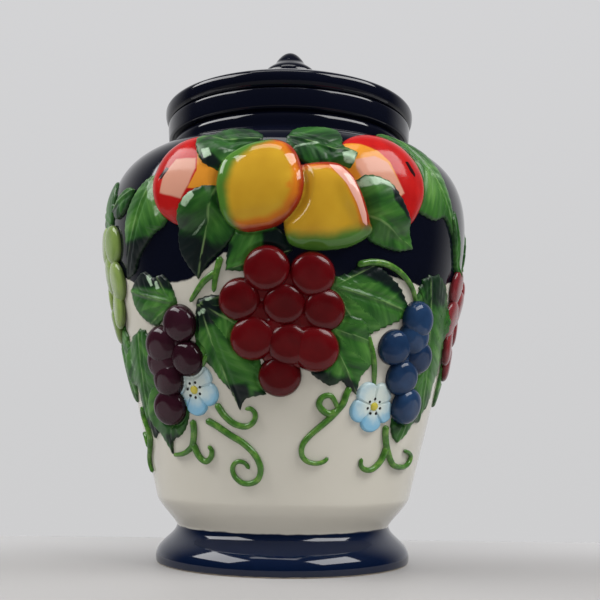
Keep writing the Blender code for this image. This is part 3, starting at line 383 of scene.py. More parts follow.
def finish_piece(mesh, node, body="jar"):
    """Put a finished mesh in the scene in place of its CAD node."""
    turn_out(mesh)
    piece = in_scene(node + "_glazed", mesh)
    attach(piece, body)
    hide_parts(node)


def plain_mesh(name, points, edges=(), faces=()):
    """A mesh from lists."""
    mesh = bpy.data.meshes.new(name)
    mesh.from_pydata([tuple(map(float, p)) for p in points], list(edges), list(faces))
    return mesh


# %% [markdown]
# ## Glaze
# Fired glaze is a clear glassy coat over colour. A Principled shader with a low roughness gives that
# clear reflection over a coloured base, and the base colour, the roughness and a very gentle bump come
# from noise in object coordinates, so no two places gleam in quite the same way. A separate coat layer
# would be right too, but a plain one is enough where the glaze is thin and hard.

# %% Material helpers
def noise(tree, vector, scale, detail=2.0, roughness=0.5):
    """Soft noise from 0 to 1."""
    return add(tree, "ShaderNodeTexNoise", {"Vector": vector, "Scale": scale, "Detail": detail,
                                            "Roughness": roughness}).outputs[0]


def soft_step(tree, value, low, high):
    """0 below low, 1 above high and a smooth rise between them; low may be the larger."""
    return add(tree, "ShaderNodeMapRange", {0: value, 1: low, 2: high, 3: 0.0, 4: 1.0},
               interpolation_type="SMOOTHSTEP").outputs[0]


def blend(tree, share, *colours):
    """Two colours, each fixed or linked, mixed by a share."""
    first, second = ((*colour, 1.0) if isinstance(colour, tuple) else colour for colour in colours)
    return add(tree, "ShaderNodeMix", {0: share, 6: first, 7: second}, data_type="RGBA").outputs[2]


def ramp(tree, value, *stops):
    """A colour from a value, through (place, colour) stops."""
    made = add(tree, "ShaderNodeValToRGB", {0: value})
    elements = made.color_ramp.elements
    elements.remove(elements[1])
    elements[0].position, elements[0].color = stops[0][0], (*stops[0][1], 1.0)
    for place, colour in stops[1:]:
        elements.new(place).color = (*colour, 1.0)
    return made.outputs[0]


def kept(tree, name, output="Vector"):
    """What the mesh stores at each vertex: a vector, or one number through the output Fac."""
    return add(tree, "ShaderNodeAttribute", attribute_name=name).outputs[output]


def new_glaze(name):
    """An empty glaze material, its tree and its object coordinates."""
    material = bpy.data.materials.new(name)
    material.use_nodes = True
    tree = material.node_tree
    return material, tree, add(tree, "ShaderNodeTexCoord").outputs["Object"]


UNEVEN_GLOSS = 0.06
CLAY_ROUGHNESS = 0.75
FINE_SHARE = 0.035


def fire(material, here, colour, gloss=0.05, ripple=0.25, shine=0.5, relief=None, bare=None):
    """Give a glaze its colour, its slightly uneven gloss and its slow ripple; bare clay stays rough."""
    tree = material.node_tree
    shader = tree.nodes["Principled BSDF"]
    shader.inputs["Specular IOR Level"].default_value = shine
    rough = maths(tree, "MULTIPLY_ADD", noise(tree, here, 60.0, 3.0), UNEVEN_GLOSS, gloss)
    if bare is not None:
        rough = maths(tree, "MAXIMUM", maths(tree, "MULTIPLY", bare, CLAY_ROUGHNESS), rough)
    slow = maths(tree, "MULTIPLY", noise(tree, here, 42.0, 1.0), ripple)
    fine = maths(tree, "MULTIPLY", noise(tree, here, 420.0, 1.0), FINE_SHARE * ripple)
    height = maths(tree, "ADD", slow, fine)
    if relief is not None:
        height = maths(tree, "ADD", height, relief)
    bump = add(tree, "ShaderNodeBump", {"Strength": 0.5, "Distance": 0.0012, "Height": height})
    for socket, value in (("Base Color", colour), ("Roughness", rough), ("Normal", bump.outputs[0])):
        tree.links.new(value, shader.inputs[socket])
    return material


# %% [markdown]
# ## Cream and navy on the vessel
# The wall is cream, and the shoulder, the collar and the foot are navy. The painter brought the navy
# down to an uneven line behind the fruit. The mesh stores how far each vertex is above that line, and
# the shader turns it into a brushed edge with a little noise. The foot's ring is wiped clean of glaze
# before the firing, so bare clay shows on the underside.

# %% Navy border and the vessel's glaze
BORDER = [(-180, 0.56), (-150, 0.6), (-120, 0.56), (-95, 0.585), (-75, 0.6), (-57, 0.57), (-50, 0.548),
    (-40, 0.545), (-30, 0.548), (-24, 0.565), (-18, 0.598), (-12, 0.6), (-6, 0.578), (5, 0.56), (10, 0.534),
    (16, 0.538), (22, 0.566), (30, 0.565), (37, 0.558), (45, 0.552), (57, 0.562), (68, 0.6), (80, 0.58),
    (100, 0.56), (130, 0.6), (155, 0.57), (180, 0.56)]
CREAM = seen_as(203, 199, 188)
NAVY = seen_as(7, 9, 19)
FOOT_BLUE = seen_as(6, 19, 44)


def navy_paint(tree, here):
    """Deep blue-black, a little bluer where it lies thick."""
    return blend(tree, noise(tree, here, 28.0, 2.0), NAVY, seen_as(10, 13, 28))


def vessel_glaze():
    """Cream wall with navy shoulder, collar and foot, and a bare foot ring."""
    material, tree, here = new_glaze("cream and navy glaze")
    height = apart(tree, here)[2]
    brushed = maths(tree, "MULTIPLY_ADD", noise(tree, here, 160.0, 3.0), 0.0024, -0.0012)
    shoulder = soft_step(tree, maths(tree, "ADD", kept(tree, "above", "Fac"), brushed), -0.0004, 0.0005)
    wandering = maths(tree, "MULTIPLY_ADD", noise(tree, here, 90.0, 2.0), 0.0016, height)
    foot = soft_step(tree, wandering, 0.0197, 0.0190)
    outside = maths(tree, "SUBTRACT", 1.0, kept(tree, "inside", "Fac"))
    navy = maths(tree, "MULTIPLY", maths(tree, "MAXIMUM", shoulder, foot), outside)
    cream = blend(tree, noise(tree, here, 18.0, 3.0), CREAM, seen_as(196, 191, 178))
    specks = soft_step(tree, noise(tree, here, 900.0, 1.0), 0.80, 0.86)
    cream = blend(tree, maths(tree, "MULTIPLY", specks, 0.25), cream, seen_as(150, 140, 118))
    deep = blend(tree, soft_step(tree, height, 0.030, 0.016), navy_paint(tree, here), FOOT_BLUE)
    wiped_and_sheen = maths(tree, "MULTIPLY_ADD", noise(tree, here, 300.0, 1.0), 0.0004, height)
    bare = soft_step(tree, wiped_and_sheen, 0.0009, 0.0004)
    colour = blend(tree, bare, blend(tree, navy, cream, deep), seen_as(186, 172, 150))
    return fire(material, here, colour, gloss=0.04, bare=bare)


def navy_glaze():
    """The lid and its knob are navy all over."""
    material, tree, here = new_glaze("navy glaze")
    return fire(material, here, navy_paint(tree, here), gloss=0.03)


vessel_material = vessel_glaze()
navy_material = navy_glaze()
print("fired:", vessel_material.name, "and", navy_material.name)

# %% [markdown]
# ## The vessel, the lid and the knob
# All three outlines run from axis to axis, as the CAD's do. A real thrown edge is never quite sharp, so
# a small rounding replaces each hard corner of the outline before it is turned, and the light then finds
# a fine line to catch on at every edge.

# %% The vessel's outline
SOFT_EDGE = 0.0005
HARD_CORNER = 0.35
MOUTH = 0.0545
COLLAR = 0.0672


def soften(rows):
    """Round the hard corners of an outline."""
    done = [rows[0]]
    for before, here, after in zip(rows[:-2], rows[1:-1], rows[2:]):
        into, out = here - before, after - here
        lengths = np.hypot(*into), np.hypot(*out)
        turn = np.arccos(np.clip(into @ out / (lengths[0] * lengths[1]), -1.0, 1.0))
        if turn < HARD_CORNER:
            done.append(here)
            continue
        cut = min(SOFT_EDGE, 0.4 * lengths[0], 0.4 * lengths[1])
        first, last = here - into / lengths[0] * cut, here + out / lengths[1] * cut
        between = [(1 - t) ** 2 * first + 2 * t * (1 - t) * here + t * t * last for t in (0.33, 0.67)]
        done += [first, *between, last]
    return np.array([*done, rows[-1]])


def vessel_line():
    """Floor, inner wall, mouth, collar, outer wall and foot."""
    outer = wall_line(16, 84, 48)
    shell = wall_line(6, 26, 16)
    way = np.gradient(shell, axis=0)
    way /= np.hypot(way[:, 0], way[:, 1])[:, None]
    inner = (shell + WALL * np.stack([-way[:, 1], way[:, 0]], axis=1))[2:-3]
    waist = WAIST[0] - WALL
    lip = (0.0661, RIM)
    flank = (COLLAR, RIM - 0.0015)
    tuck = (0.0667, COLLAR_BOTTOM + 0.0017)
    under = (0.0650, COLLAR_BOTTOM)
    groove = (0.0631, COLLAR_BOTTOM - 0.0003)
    ring = (0.0647, COLLAR_BOTTOM - 0.0036)
    slope = outer[(outer[:, 0] > 0.0638) | (outer[:, 1] < BELLY[1])]
    edge = (0.0658, 0.0032)
    drop = WAIST[1] - edge[1]
    recess = 0.0035
    return soften(np.vstack([
        [(0.0, FLOOR_TOP), (0.0228, FLOOR_TOP), (waist - WALL, FLOOR_TOP)],
        bend((waist - WALL, FLOOR_TOP), (waist, FLOOR_TOP), (waist, FLOOR_TOP + 0.0015), (waist, WAIST[1]), 6),
        inner,
        [(0.0565, NECK[1] - 0.0042), (0.0546, NECK[1] + 0.0015), (MOUTH, RIM - 0.0012)],
        bend((MOUTH, RIM - 0.0012), (MOUTH, RIM - 0.0003), (0.0549, RIM), (0.0558, RIM), 4),
        [lip],
        bend(lip, (0.0668, RIM), (COLLAR, RIM - 0.0005), flank, 6),
        bend(flank, (COLLAR, RIM - 0.0040), (0.0669, COLLAR_BOTTOM + 0.0034), tuck, 4),
        bend(tuck, (0.0666, COLLAR_BOTTOM + 0.0006), (0.0660, COLLAR_BOTTOM), under, 6),
        [groove],
        bend(groove, (0.0640, COLLAR_BOTTOM - 0.0007), (0.0647, COLLAR_BOTTOM - 0.0020), ring, 10),
        bend(ring, (0.0647, ring[1] - 0.0024), (0.0634, slope[-1, 1] + 0.0008), slope[-1], 8),
        slope[-2::-1],
        bend(WAIST, (WAIST[0], WAIST[1] - 0.35 * drop), (edge[0], edge[1] + 0.45 * drop), edge, 16),
        bend(edge, (edge[0], 0.4 * edge[1]), (edge[0], 0.0), (0.0648, 0.0), 5),
        [(0.0583, 0.0), (0.0573, recess), (0.0286, recess), (0.0, recess)]]))


# %% The outlines of the lid and the knob
def lid_line():
    """Crown, bead, seat, locating skirt and the hollow inside."""
    seat = RIM + 0.0003
    top = seat + 0.0093
    crown = top + 0.0110
    bead = 0.00465
    brim = 0.0689
    corner = (brim - 0.0034, top - 0.0001)
    widest = (brim, seat + 0.00558)
    tuck = (brim - 0.6 * bead, seat)
    skirt_out, skirt_in = 0.0525, 0.0480
    ceiling = crown - 0.005
    return soften(np.vstack([
        [(0.0, crown), (0.0117, crown)],
        bend((0.0117, crown), (0.0400, crown), (0.0545, top + 0.0062), corner, 40),
        bend(corner, (0.0674, top - 0.0003), (brim, top - 0.0016), (brim, top - 0.0034), 10),
        [widest],
        bend(widest, (brim, widest[1] - 0.6 * bead), (brim - 0.2 * bead, seat), tuck, 8),
        [(skirt_out, seat), (skirt_out, seat - 0.0082), (0.0517, seat - 0.0090), (0.0488, seat - 0.0090),
         (skirt_in, seat - 0.0082), (skirt_in, seat + 0.0037)],
        bend((skirt_in, seat + 0.0037), (0.0384, seat + 0.0108), (0.0240, ceiling), (0.0, ceiling), 14)]))


def knob_line():
    """A pointed nub on a round button over a waisted stem."""
    base = 0.2544
    tip = (0.0, base + 0.0256)
    nub = (0.0078, tip[1] - 0.0056)
    edge = (0.0154, base + 0.0103)
    stem = (0.0096, base + 0.0034)
    foot = (0.0114, base)
    crest = nub[1] - edge[1]
    tuck = edge[1] - stem[1]
    return soften(np.vstack([
        [tip],
        bend(tip, (0.0036, tip[1]), (0.0060, nub[1] + 0.0026), nub, 12),
        bend(nub, (0.0094, nub[1] - 0.42 * crest), (0.0152, edge[1] + 0.55 * crest), edge, 20),
        bend(edge, (0.0154, edge[1] - 0.6 * tuck), (0.0106, stem[1] + 0.45 * tuck), stem, 14),
        bend(stem, (0.0093, base + 0.0017), (0.0103, base + 0.0007), foot, 6),
        [(0.0, base)]]))


# %% Turn the vessel and mark it for its glaze
def turned(name, rows, steps, glaze):
    """Turn an outline on the wheel."""
    line = plain_mesh(name, [(r, 0.0, h) for r, h in rows], [(i, i + 1) for i in range(len(rows) - 1)])
    return run_tree(wheel, line, Outline_points=len(rows), Steps_round=steps, Glaze=glaze)


def store(mesh, name, values):
    """Keep one number or one vector for each vertex."""
    kind = "FLOAT_VECTOR" if np.ndim(values) == 2 else "FLOAT"
    field = mesh.attributes.new(name, kind, "POINT")
    field.data.foreach_set("vector" if kind == "FLOAT_VECTOR" else "value",
                           np.ascontiguousarray(values, dtype=np.float32).ravel())


def vertices_of(mesh):
    """All vertices as an array."""
    places = np.empty(len(mesh.vertices) * 3, dtype=np.float32)
    mesh.vertices.foreach_get("co", places)
    return places.reshape(-1, 3)


def mark_vessel(mesh):
    """How far each vertex is above the navy border, and whether it is inside the jar."""
    x, y, z = vertices_of(mesh).T
    azimuth = np.degrees(np.arctan2(x, -y))
    border = np.interp(azimuth, *zip(*BORDER)) * WALL_LENGTH
    climb = np.interp(z, wall[:, 1], wall_arcs)
    store(mesh, "above", climb - border)
    radius = np.hypot(x, y)
    skin = np.interp(z, wall[:, 1], wall[:, 0])
    in_belly = (radius < skin - 0.5 * WALL) & (z > 0.5 * FLOOR_TOP) & (z < NECK[1])
    in_neck = (radius < MOUTH + 0.0005) & (z > 0.005)
    store(mesh, "inside", (in_belly | in_neck).astype(float))


vessel = turned("vessel", vessel_line(), 240, vessel_material)
mark_vessel(vessel)
finish_piece(vessel, "jar_body")
finish_piece(turned("lid", lid_line(), 180, navy_material), "lid", "lid")
finish_piece(turned("knob", knob_line(), 96, navy_material), "lid_knob", "lid")
print("vessel:", len(vessel.polygons), "faces")

# %% [markdown]
# ## A height map for the relief
# The forms overlap: a leaf lies on an apple, and a peach lies on that leaf. A modeller lets each form
# rest on those below. So the lesson keeps a map of the relief's height over the whole wall. Each form in
# turn reads the softened height under it, adds its own thickness and writes itself into the map. Last,
# a form that another one covers is pushed down below it, so that nothing pokes through.

# %% The map and a form
MAP_STEP = 0.25
MAP_AZIMUTHS = np.arange(-180.0, 180.0, MAP_STEP)
MAP_CLIMBS = np.linspace(0.0, 1.0, 521)
relief = np.zeros((len(MAP_CLIMBS), len(MAP_AZIMUTHS)))
print("the relief map has", relief.shape[0], "rows and", relief.shape[1], "columns")


def away_from(azimuths, middle):
    """How far azimuths are from a middle one, between -180 and 180 degrees."""
    return (np.asarray(azimuths) - middle + 180.0) % 360.0 - 180.0


@dataclass
class Form:
    """One relief form: a closed outline round a place on the wall, and its own height."""

    name: str
    azimuth: float
    climb: float
    turn: float
    line: np.ndarray
    height: Callable
    rest: float = 1.0
    axes: tuple = ()

    def flat(self, azimuths, climbs):
        """The form's own flat coordinates of places on the wall."""
        x = np.radians(away_from(azimuths, self.azimuth)) * radius_at(climbs)
        y = (climbs - self.climb) * WALL_LENGTH
        c, s = cos(radians(self.turn)), sin(radians(self.turn))
        return c * x + s * y, c * y - s * x

    def on_wall(self, x, y):
        """Azimuth and climb of the form's own flat coordinates."""
        c, s = cos(radians(self.turn)), sin(radians(self.turn))
        climbs = self.climb + (s * x + c * y) / WALL_LENGTH
        return self.azimuth + np.degrees((c * x - s * y) / radius_at(climbs)), climbs

    def share(self, x, y):
        """How far out a place is: 0 at the centre and 1 on the outline."""
        angles = np.arctan2(self.line[:, 1], self.line[:, 0])
        order = np.argsort(angles)
        edge = np.interp(np.arctan2(y, x), angles[order], np.hypot(*self.line.T)[order], period=tau)
        return np.hypot(x, y) / edge


# %% Reading the map
def soften_map(field, cells):
    """Blur a part of the map by running means."""
    kernel = np.ones(2 * cells + 1) / (2 * cells + 1)
    for axis in (0, 1, 0, 1):
        field = np.apply_along_axis(lambda row: np.convolve(np.pad(row, cells, mode="edge"), kernel, "valid"),
                                    axis, field)
    return field


def look_up(field, column, row):
    """A map's value between its cells."""
    c0 = np.clip(np.floor(column).astype(int), 0, field.shape[1] - 2)
    r0 = np.clip(np.floor(row).astype(int), 0, field.shape[0] - 2)
    u, v = column - c0, row - r0
    return ((1 - v) * ((1 - u) * field[r0, c0] + u * field[r0, c0 + 1])
            + v * ((1 - u) * field[r0 + 1, c0] + u * field[r0 + 1, c0 + 1]))


def relief_at(azimuths, climbs):
    """The height of the whole relief at places on the wall."""
    column = np.minimum((np.asarray(azimuths) + 180.0) % 360.0 / MAP_STEP, relief.shape[1] - 1.001)
    return look_up(relief, column, np.asarray(climbs) * (len(MAP_CLIMBS) - 1))


# %% Resting a form on the map
COVER = 0.00035
TUCK = 0.9
MARGIN = 0.006
BLUR_CELLS = 4


@dataclass
class Rested:
    """A form with the height that it rests on, kept for the window of the map round it."""

    form: Form
    layer: int
    under: np.ndarray
    left: float
    bottom: float
    reach: float

    def support(self, azimuths, climbs):
        """The height under the form."""
        column = (away_from(azimuths, self.form.azimuth) - self.left) / MAP_STEP
        return look_up(self.under, column, (np.asarray(climbs) - self.bottom) * (len(MAP_CLIMBS) - 1))

    def limit(self, azimuths, climbs):
        """How high a form below may stand: under this one inside it, and tucked down beside it."""
        x, y = self.form.flat(azimuths, climbs)
        share = self.form.share(x, y)
        rim = self.support(azimuths, climbs)
        over = rim + self.form.height(x, y, np.minimum(share, 1.0)) - COVER
        beside = rim + TUCK * np.hypot(x, y) * (1.0 - 1.0 / np.maximum(share, 1.0))
        far = np.hypot(x, y) > self.reach
        return np.where(far, np.inf, np.where(share <= 1.0, over, beside))


def rest_on_map(form, layer):
    """Rest a form on the relief so far, and write it into the map."""
    reach = np.hypot(*form.line.T).max() + MARGIN
    rows = np.flatnonzero(np.abs(MAP_CLIMBS - form.climb) * WALL_LENGTH < reach)
    away = away_from(MAP_AZIMUTHS, form.azimuth)
    columns = np.flatnonzero(np.abs(np.radians(away)) * radius_at(form.climb) < 1.25 * reach)
    columns = columns[np.argsort(away[columns])]
    part = np.ix_(rows, columns)
    azimuths, climbs = np.meshgrid(MAP_AZIMUTHS[columns], MAP_CLIMBS[rows])
    x, y = form.flat(azimuths, climbs)
    share = form.share(x, y)
    under = form.rest * soften_map(relief[part], BLUR_CELLS)
    relief[part] = np.where(share <= 1.0, under + form.height(x, y, np.minimum(share, 1.0)), relief[part])
    return Rested(form, layer, under, away[columns[0]], MAP_CLIMBS[rows[0]], reach)


# %% [markdown]
# ## Making a form's mesh
# A form's mesh is a set of rings between its centre and its outline, closer together near the edge,
# where it curves most. A skirt goes down into the wall and a floor closes it, so each form is a solid
# that a slicer could print.

# %% Rings, skirt and floor
SINK = 0.0010
EDGE_SHARES = [0.93, 0.96, 0.98, 0.993, 1.0]
LAYER_DROP = 0.00002
MOST_DROPS = 15


def form_mesh(rested, above, rings):
    """The closed mesh of a form, flat, and how far out each vertex is."""
    form = rested.form
    count = len(form.line)
    shares = np.concatenate([np.linspace(0.0, 0.90, rings)[1:], EDGE_SHARES])
    flat = np.vstack([[(0.0, 0.0)], *(share * form.line for share in shares)])
    out = np.concatenate([[0.0], np.repeat(shares, count)])
    x, y = flat.T
    azimuths, climbs = form.on_wall(x, y)
    z = rested.support(azimuths, climbs) + form.height(x, y, out)
    for other in above:
        apart_by = np.hypot(*form.flat(np.array(other.form.azimuth), np.array(other.form.climb)))
        if apart_by < 1.3 * (rested.reach + other.reach):
            ceiling = other.limit(azimuths, climbs) - LAYER_DROP * min(other.layer - rested.layer, MOST_DROPS)
            z = np.minimum(z, np.maximum(ceiling, -0.5 * SINK))
    points = np.vstack([np.column_stack([flat, z]), np.column_stack([form.line, np.full(count, -SINK)]),
                        [(0.0, 0.0, -SINK)]])
    faces = [(0, 1 + i, 1 + (i + 1) % count) for i in range(count)]
    for ring in range(len(shares)):
        base = 1 + ring * count
        faces += [(base + i, base + count + i, base + count + (i + 1) % count, base + (i + 1) % count)
                  for i in range(count)]
    last = 1 + len(shares) * count
    faces += [(last + i, last + count, last + (i + 1) % count) for i in range(count)]
    return plain_mesh(form.name, points, faces=faces), np.concatenate([out, np.ones(count), [0.0]])


def press(form, mesh, glaze):
    """Press a flat mesh on the wall at its form's place."""
    return run_tree(pressing, mesh, Wall_outline=wall_template, Azimuth=float(form.azimuth),
                    Climb=float(form.climb), Turn=float(form.turn), Glaze=glaze)


# %% [markdown]
# ## Leaves
# A leaf swells on both sides of its midrib, has side veins that slant towards the tip, and a thin
# rolled edge. Most leaves on the front have their own outline of corners, drawn from tip round to tip.
# A smooth curve goes through the corners except where it turns sharply, and a small saw edge is added.

# %% Outlines through corners, with teeth
def edge_through(corners, sharp=1.05):
    """A closed line through corners, smooth except where it turns by more than sharp."""
    count = len(corners)
    corners = np.array(corners)
    sides = np.roll(corners, -1, axis=0) - corners
    turns = [abs(atan2(a[0] * b[1] - a[1] * b[0], a @ b)) for a, b in zip(np.roll(sides, 1, axis=0), sides)]
    hard = [i == 0 or turn > sharp for i, turn in enumerate(turns)]
    line = []
    for i in range(count):
        before, start, end, after = (corners[(i + k) % count] for k in (-1, 0, 1, 2))
        lead_out = (end - start) / 3.0 if hard[i] else (end - before) / 6.0
        lead_in = (end - start) / 3.0 if hard[(i + 1) % count] else (after - start) / 6.0
        steps = max(3, round(np.hypot(*(end - start)) / 0.0008))
        line += [start, *bend(start, start + lead_out, end - lead_in, end, steps)[:-1]]
    return np.array(line)


def saw(line, depth, pitch):
    """Add small teeth that lean towards the tip."""
    steps = np.roll(line, -1, axis=0) - line
    arcs = np.concatenate([[0.0], np.cumsum(np.hypot(*steps.T))])
    total = arcs[-1]
    arcs = arcs[:-1]
    count = max(2, round(0.5 * total / pitch))
    way = np.where(arcs < 0.5 * total, 1.0 - 2.0 * arcs / total, 2.0 * arcs / total - 1.0) * count
    tooth = (way % 1.0) ** 1.5
    fade = np.clip(np.minimum(arcs, total - arcs) / 0.006, 0.0, 1.0)
    around = np.roll(line, -1, axis=0) - np.roll(line, 1, axis=0)
    around /= np.hypot(*around.T)[:, None]
    return line + (depth * (tooth - 0.4) * fade)[:, None] * np.stack([around[:, 1], -around[:, 0]], axis=1)


# %% The height of a leaf
LEAF_LIFT = 0.0025
LEAF_EDGE = 0.0011
RIB_HEIGHT, RIB_WIDTH = 0.00028, 0.0008
FURROW_DEPTH, FURROW_WIDTH, FURROW_OFF = 0.00055, 0.0011, 0.0017
VEIN_DEPTH = 0.00018
VEIN_SLANT = 0.85


def rolled_edge(share, start, width):
    """1 inside the start share, and rounding down to 0 over the width beyond it."""
    return np.sqrt(np.clip(1.0 - (np.clip(share - start, 0.0, 1.0) / width) ** 2, 0.0, 1.0))


def leaf_axes(line, veins=(0.0,), root_share=0.92):
    """Root, tip and the main veins' angles of a leaf whose outline starts at its tip."""
    tip = line[0]
    root = line[np.argmax(np.hypot(*(line - tip).T))]
    return root * root_share, tip, np.radians(veins)


def along_and_off(axes, x, y):
    """How far along the nearest main vein and off it a place lies, and the leaf's length, in metres."""
    root, tip, veins = axes
    heading = atan2(tip[1] - root[1], tip[0] - root[0])
    bearing = (np.arctan2(y - root[1], x - root[0]) - heading + pi) % tau - pi
    nearest = np.argmin(np.abs(bearing[..., None] - veins), axis=-1)
    away = bearing - veins[nearest]
    distance = np.hypot(x - root[0], y - root[1])
    return distance * np.cos(away), distance * np.sin(away), np.hypot(*(tip - root))


def leaf_height(axes, pitch=0.0062):
    """The height of a leaf: swollen between its veins, with a thin rolled edge."""
    def height(x, y, share):
        u, v, length = along_and_off(axes, x, y)
        off = np.abs(v)
        swell = LEAF_EDGE + (LEAF_LIFT - LEAF_EDGE) * (1.0 - share ** 2) ** 0.7
        rib = RIB_HEIGHT * np.exp(-(v / RIB_WIDTH) ** 2) * np.clip(1.0 - u / length, 0.15, 1.0)
        furrow = FURROW_DEPTH * np.exp(-((off - FURROW_OFF) / FURROW_WIDTH) ** 2)
        phase = ((u - VEIN_SLANT * off) / pitch) % 1.0 - 0.5
        vein = -VEIN_DEPTH * np.exp(-(phase / 0.16) ** 2) * np.clip(off / 0.0025, 0.0, 1.0)
        return rolled_edge(share, 0.93, 0.07) * (swell + (rib - furrow + vein) * (1.0 - 0.6 * share ** 4))

    return height


# %% Kinds of leaf
PALM = (-84.0, -42.0, 0.0, 42.0, 84.0)
LEAF_LENGTH = 0.0460
VINE_LEAF = 0.0280
GRAPE = 0.0102


def across_and_up(place, azimuth, climb=0.0):
    """How far a place on the wall is across and up from another, in metres."""
    return radians(place[0] - azimuth) * float(radius_at(place[1])), (place[1] - climb) * WALL_LENGTH


def stepped(azimuth, climb, shift, step):
    """The place on the wall that is a shift, in steps across and up, from another."""
    arc = climb * WALL_LENGTH + shift[1] * step
    return azimuth + np.degrees(shift[0] * step / np.interp(arc, wall_arcs, wall[:, 0])), arc / WALL_LENGTH


def full_turn(count):
    """Angles evenly round a full turn."""
    return np.linspace(0.0, tau, count, endpoint=False)


def line_round(angles, size):
    """An outline from its distance at each angle."""
    return np.stack([size * np.cos(angles), size * np.sin(angles)], axis=1)


def drawn_line(places, sharp=1.05):
    """An outline from (azimuth, climb) corners, and the place it is drawn round."""
    azimuth, climb = np.mean(places, axis=0)
    return azimuth, climb, edge_through([across_and_up(place, azimuth, climb) for place in places], sharp)


def drawn_leaf(name, places, teeth=(0.0005, 0.0034), veins=(0.0,), root=None):
    """A leaf from (azimuth, climb) corners, anticlockwise from its tip, and maybe the place of its root."""
    azimuth, climb, line = drawn_line(places)
    line = saw(line, *teeth)
    axes = leaf_axes(line, veins)
    if root:
        axes = (np.array(across_and_up(root, azimuth, climb)), *axes[1:])
    return Form(name, azimuth, climb, 0.0, line, leaf_height(axes), axes=axes)


def hanging_leaf(name, azimuth, climb, corners):
    """A leaf under a bunch, from corners in grape radii from the bunch's first grape."""
    return drawn_leaf(name, [stepped(azimuth, climb, corner, GRAPE) for corner in corners])


def pointed_leaf(name, azimuth, climb, scale, breadth, turn):
    """A plain serrated leaf; turn is the way its tip points."""
    length = scale * LEAF_LENGTH
    angles = full_turn(180)
    spread = np.abs(np.sin(angles)) ** 0.35 * (1.0 - 0.28 * np.cos(angles))
    line = np.stack([0.5 * length * np.cos(angles), 0.5 * breadth * length * np.sin(angles) * spread], axis=1)
    line = saw(line, 0.0016, 0.0058)
    axes = leaf_axes(line)
    return Form(name, azimuth, climb, turn, line, leaf_height(axes), axes=axes)


def vine_leaf(name, azimuth, climb, turn):
    """A five-lobed leaf."""
    angles = full_turn(220)
    size = VINE_LEAF * (0.80 + 0.20 * np.cos(5.0 * angles)) * (1.0 + 0.16 * np.cos(angles))
    line = saw(line_round(angles, size), 0.0012, 0.0048)
    axes = leaf_axes(line, PALM, 0.45)
    return Form(name, azimuth, climb, turn, line, leaf_height(axes, pitch=0.0085), axes=axes)


# %% [markdown]
# ## Fruit and blossom forms
# Apples and peaches are shallow domes. Their edge rises steeply, as pressed clay does, and then rounds
# over. A blossom has five petals that rise from a dimple, with a groove between one petal and the next.

# %% Fruit, blossoms and grapes as forms
APPLE, APPLE_LIFT = 0.0235, 0.0074
PEACH, PEACH_LIFT = 0.0205, 0.0078
BLOSSOM = 0.0125
# How high a grape stands in the map. The pieces of the side bunches have the same lift as there, and
# those of the others a higher one, GRAPE_LIFT.
GRAPE_DOME, SIDE_GRAPE_LIFT = 0.0045, 0.0027
FRUIT_REST = 0.5
GRAPE_REST = 0.35


def dome(lift, fullness=4.0):
    """A pad that is nearly flat in the middle and rolls over at its edge."""
    def height(x, y, share):
        return lift * np.sqrt(np.clip(1.0 - share ** fullness, 0.0, 1.0))

    return height


def round_line(width, height, taper=0.0, count=200):
    """An ellipse that may be broader below than above."""
    angles = full_turn(count)
    return np.stack([width * np.cos(angles) * (1.0 - taper * np.sin(angles)), height * np.sin(angles)], axis=1)


def apple(name, azimuth, climb, scale=1.0):
    """A round apple."""
    radius = APPLE * scale
    return Form(name, azimuth, climb, 0.0, round_line(0.96 * radius, radius), dome(APPLE_LIFT, 2.5), FRUIT_REST)


def drawn_peach(name, places):
    """A peach from (azimuth, climb) corners, with no hard corner in its outline."""
    azimuth, climb, line = drawn_line(places, sharp=9.0)
    return Form(name, azimuth, climb, 0.0, line, dome(PEACH_LIFT), FRUIT_REST)


def peach(name, azimuth, climb, turn):
    """A plump peach."""
    return Form(name, azimuth, climb, turn, round_line(0.92 * PEACH, PEACH, 0.08), dome(PEACH_LIFT), FRUIT_REST)


def blossom_height(x, y, share):
    """Five petals with a groove between each two."""
    angle = np.arctan2(y, x)
    groove = np.exp(-((np.abs(np.cos(2.5 * angle))) / 0.16) ** 2) * np.clip(share / 0.3, 0.0, 1.0)
    return rolled_edge(share, 0.90, 0.10) * (0.0013 + 0.0006 * share - 0.0008 * groove)


def blossom(name, azimuth, climb, turn):
    """A small open blossom."""
    angles = full_turn(200)
    size = BLOSSOM * (1.0 - 0.24 * (1.0 - np.abs(np.cos(2.5 * angles)) ** 0.7))
    return Form(name, azimuth, climb, turn, line_round(angles, size), blossom_height, 0.0)


def grapes(name, azimuth, climb, shifts, scale=1.0, lift=GRAPE_DOME):
    """The grapes of one bunch; each shift from the first is in grape radii."""
    radius = scale * GRAPE
    places = [stepped(azimuth, climb, shift, radius) for shift in [(0.0, 0.0), *shifts]]
    return [Form(name, *place, 0.0, round_line(radius, radius, count=48), dome(lift), GRAPE_REST)
            for place in places]


# %% [markdown]
# ## Where everything lies
# The order is the order of the real layers: the back first, then the sides, then the front, from the
# leaves against the wall to the fruit in front of them. The places repeat those of the CAD.

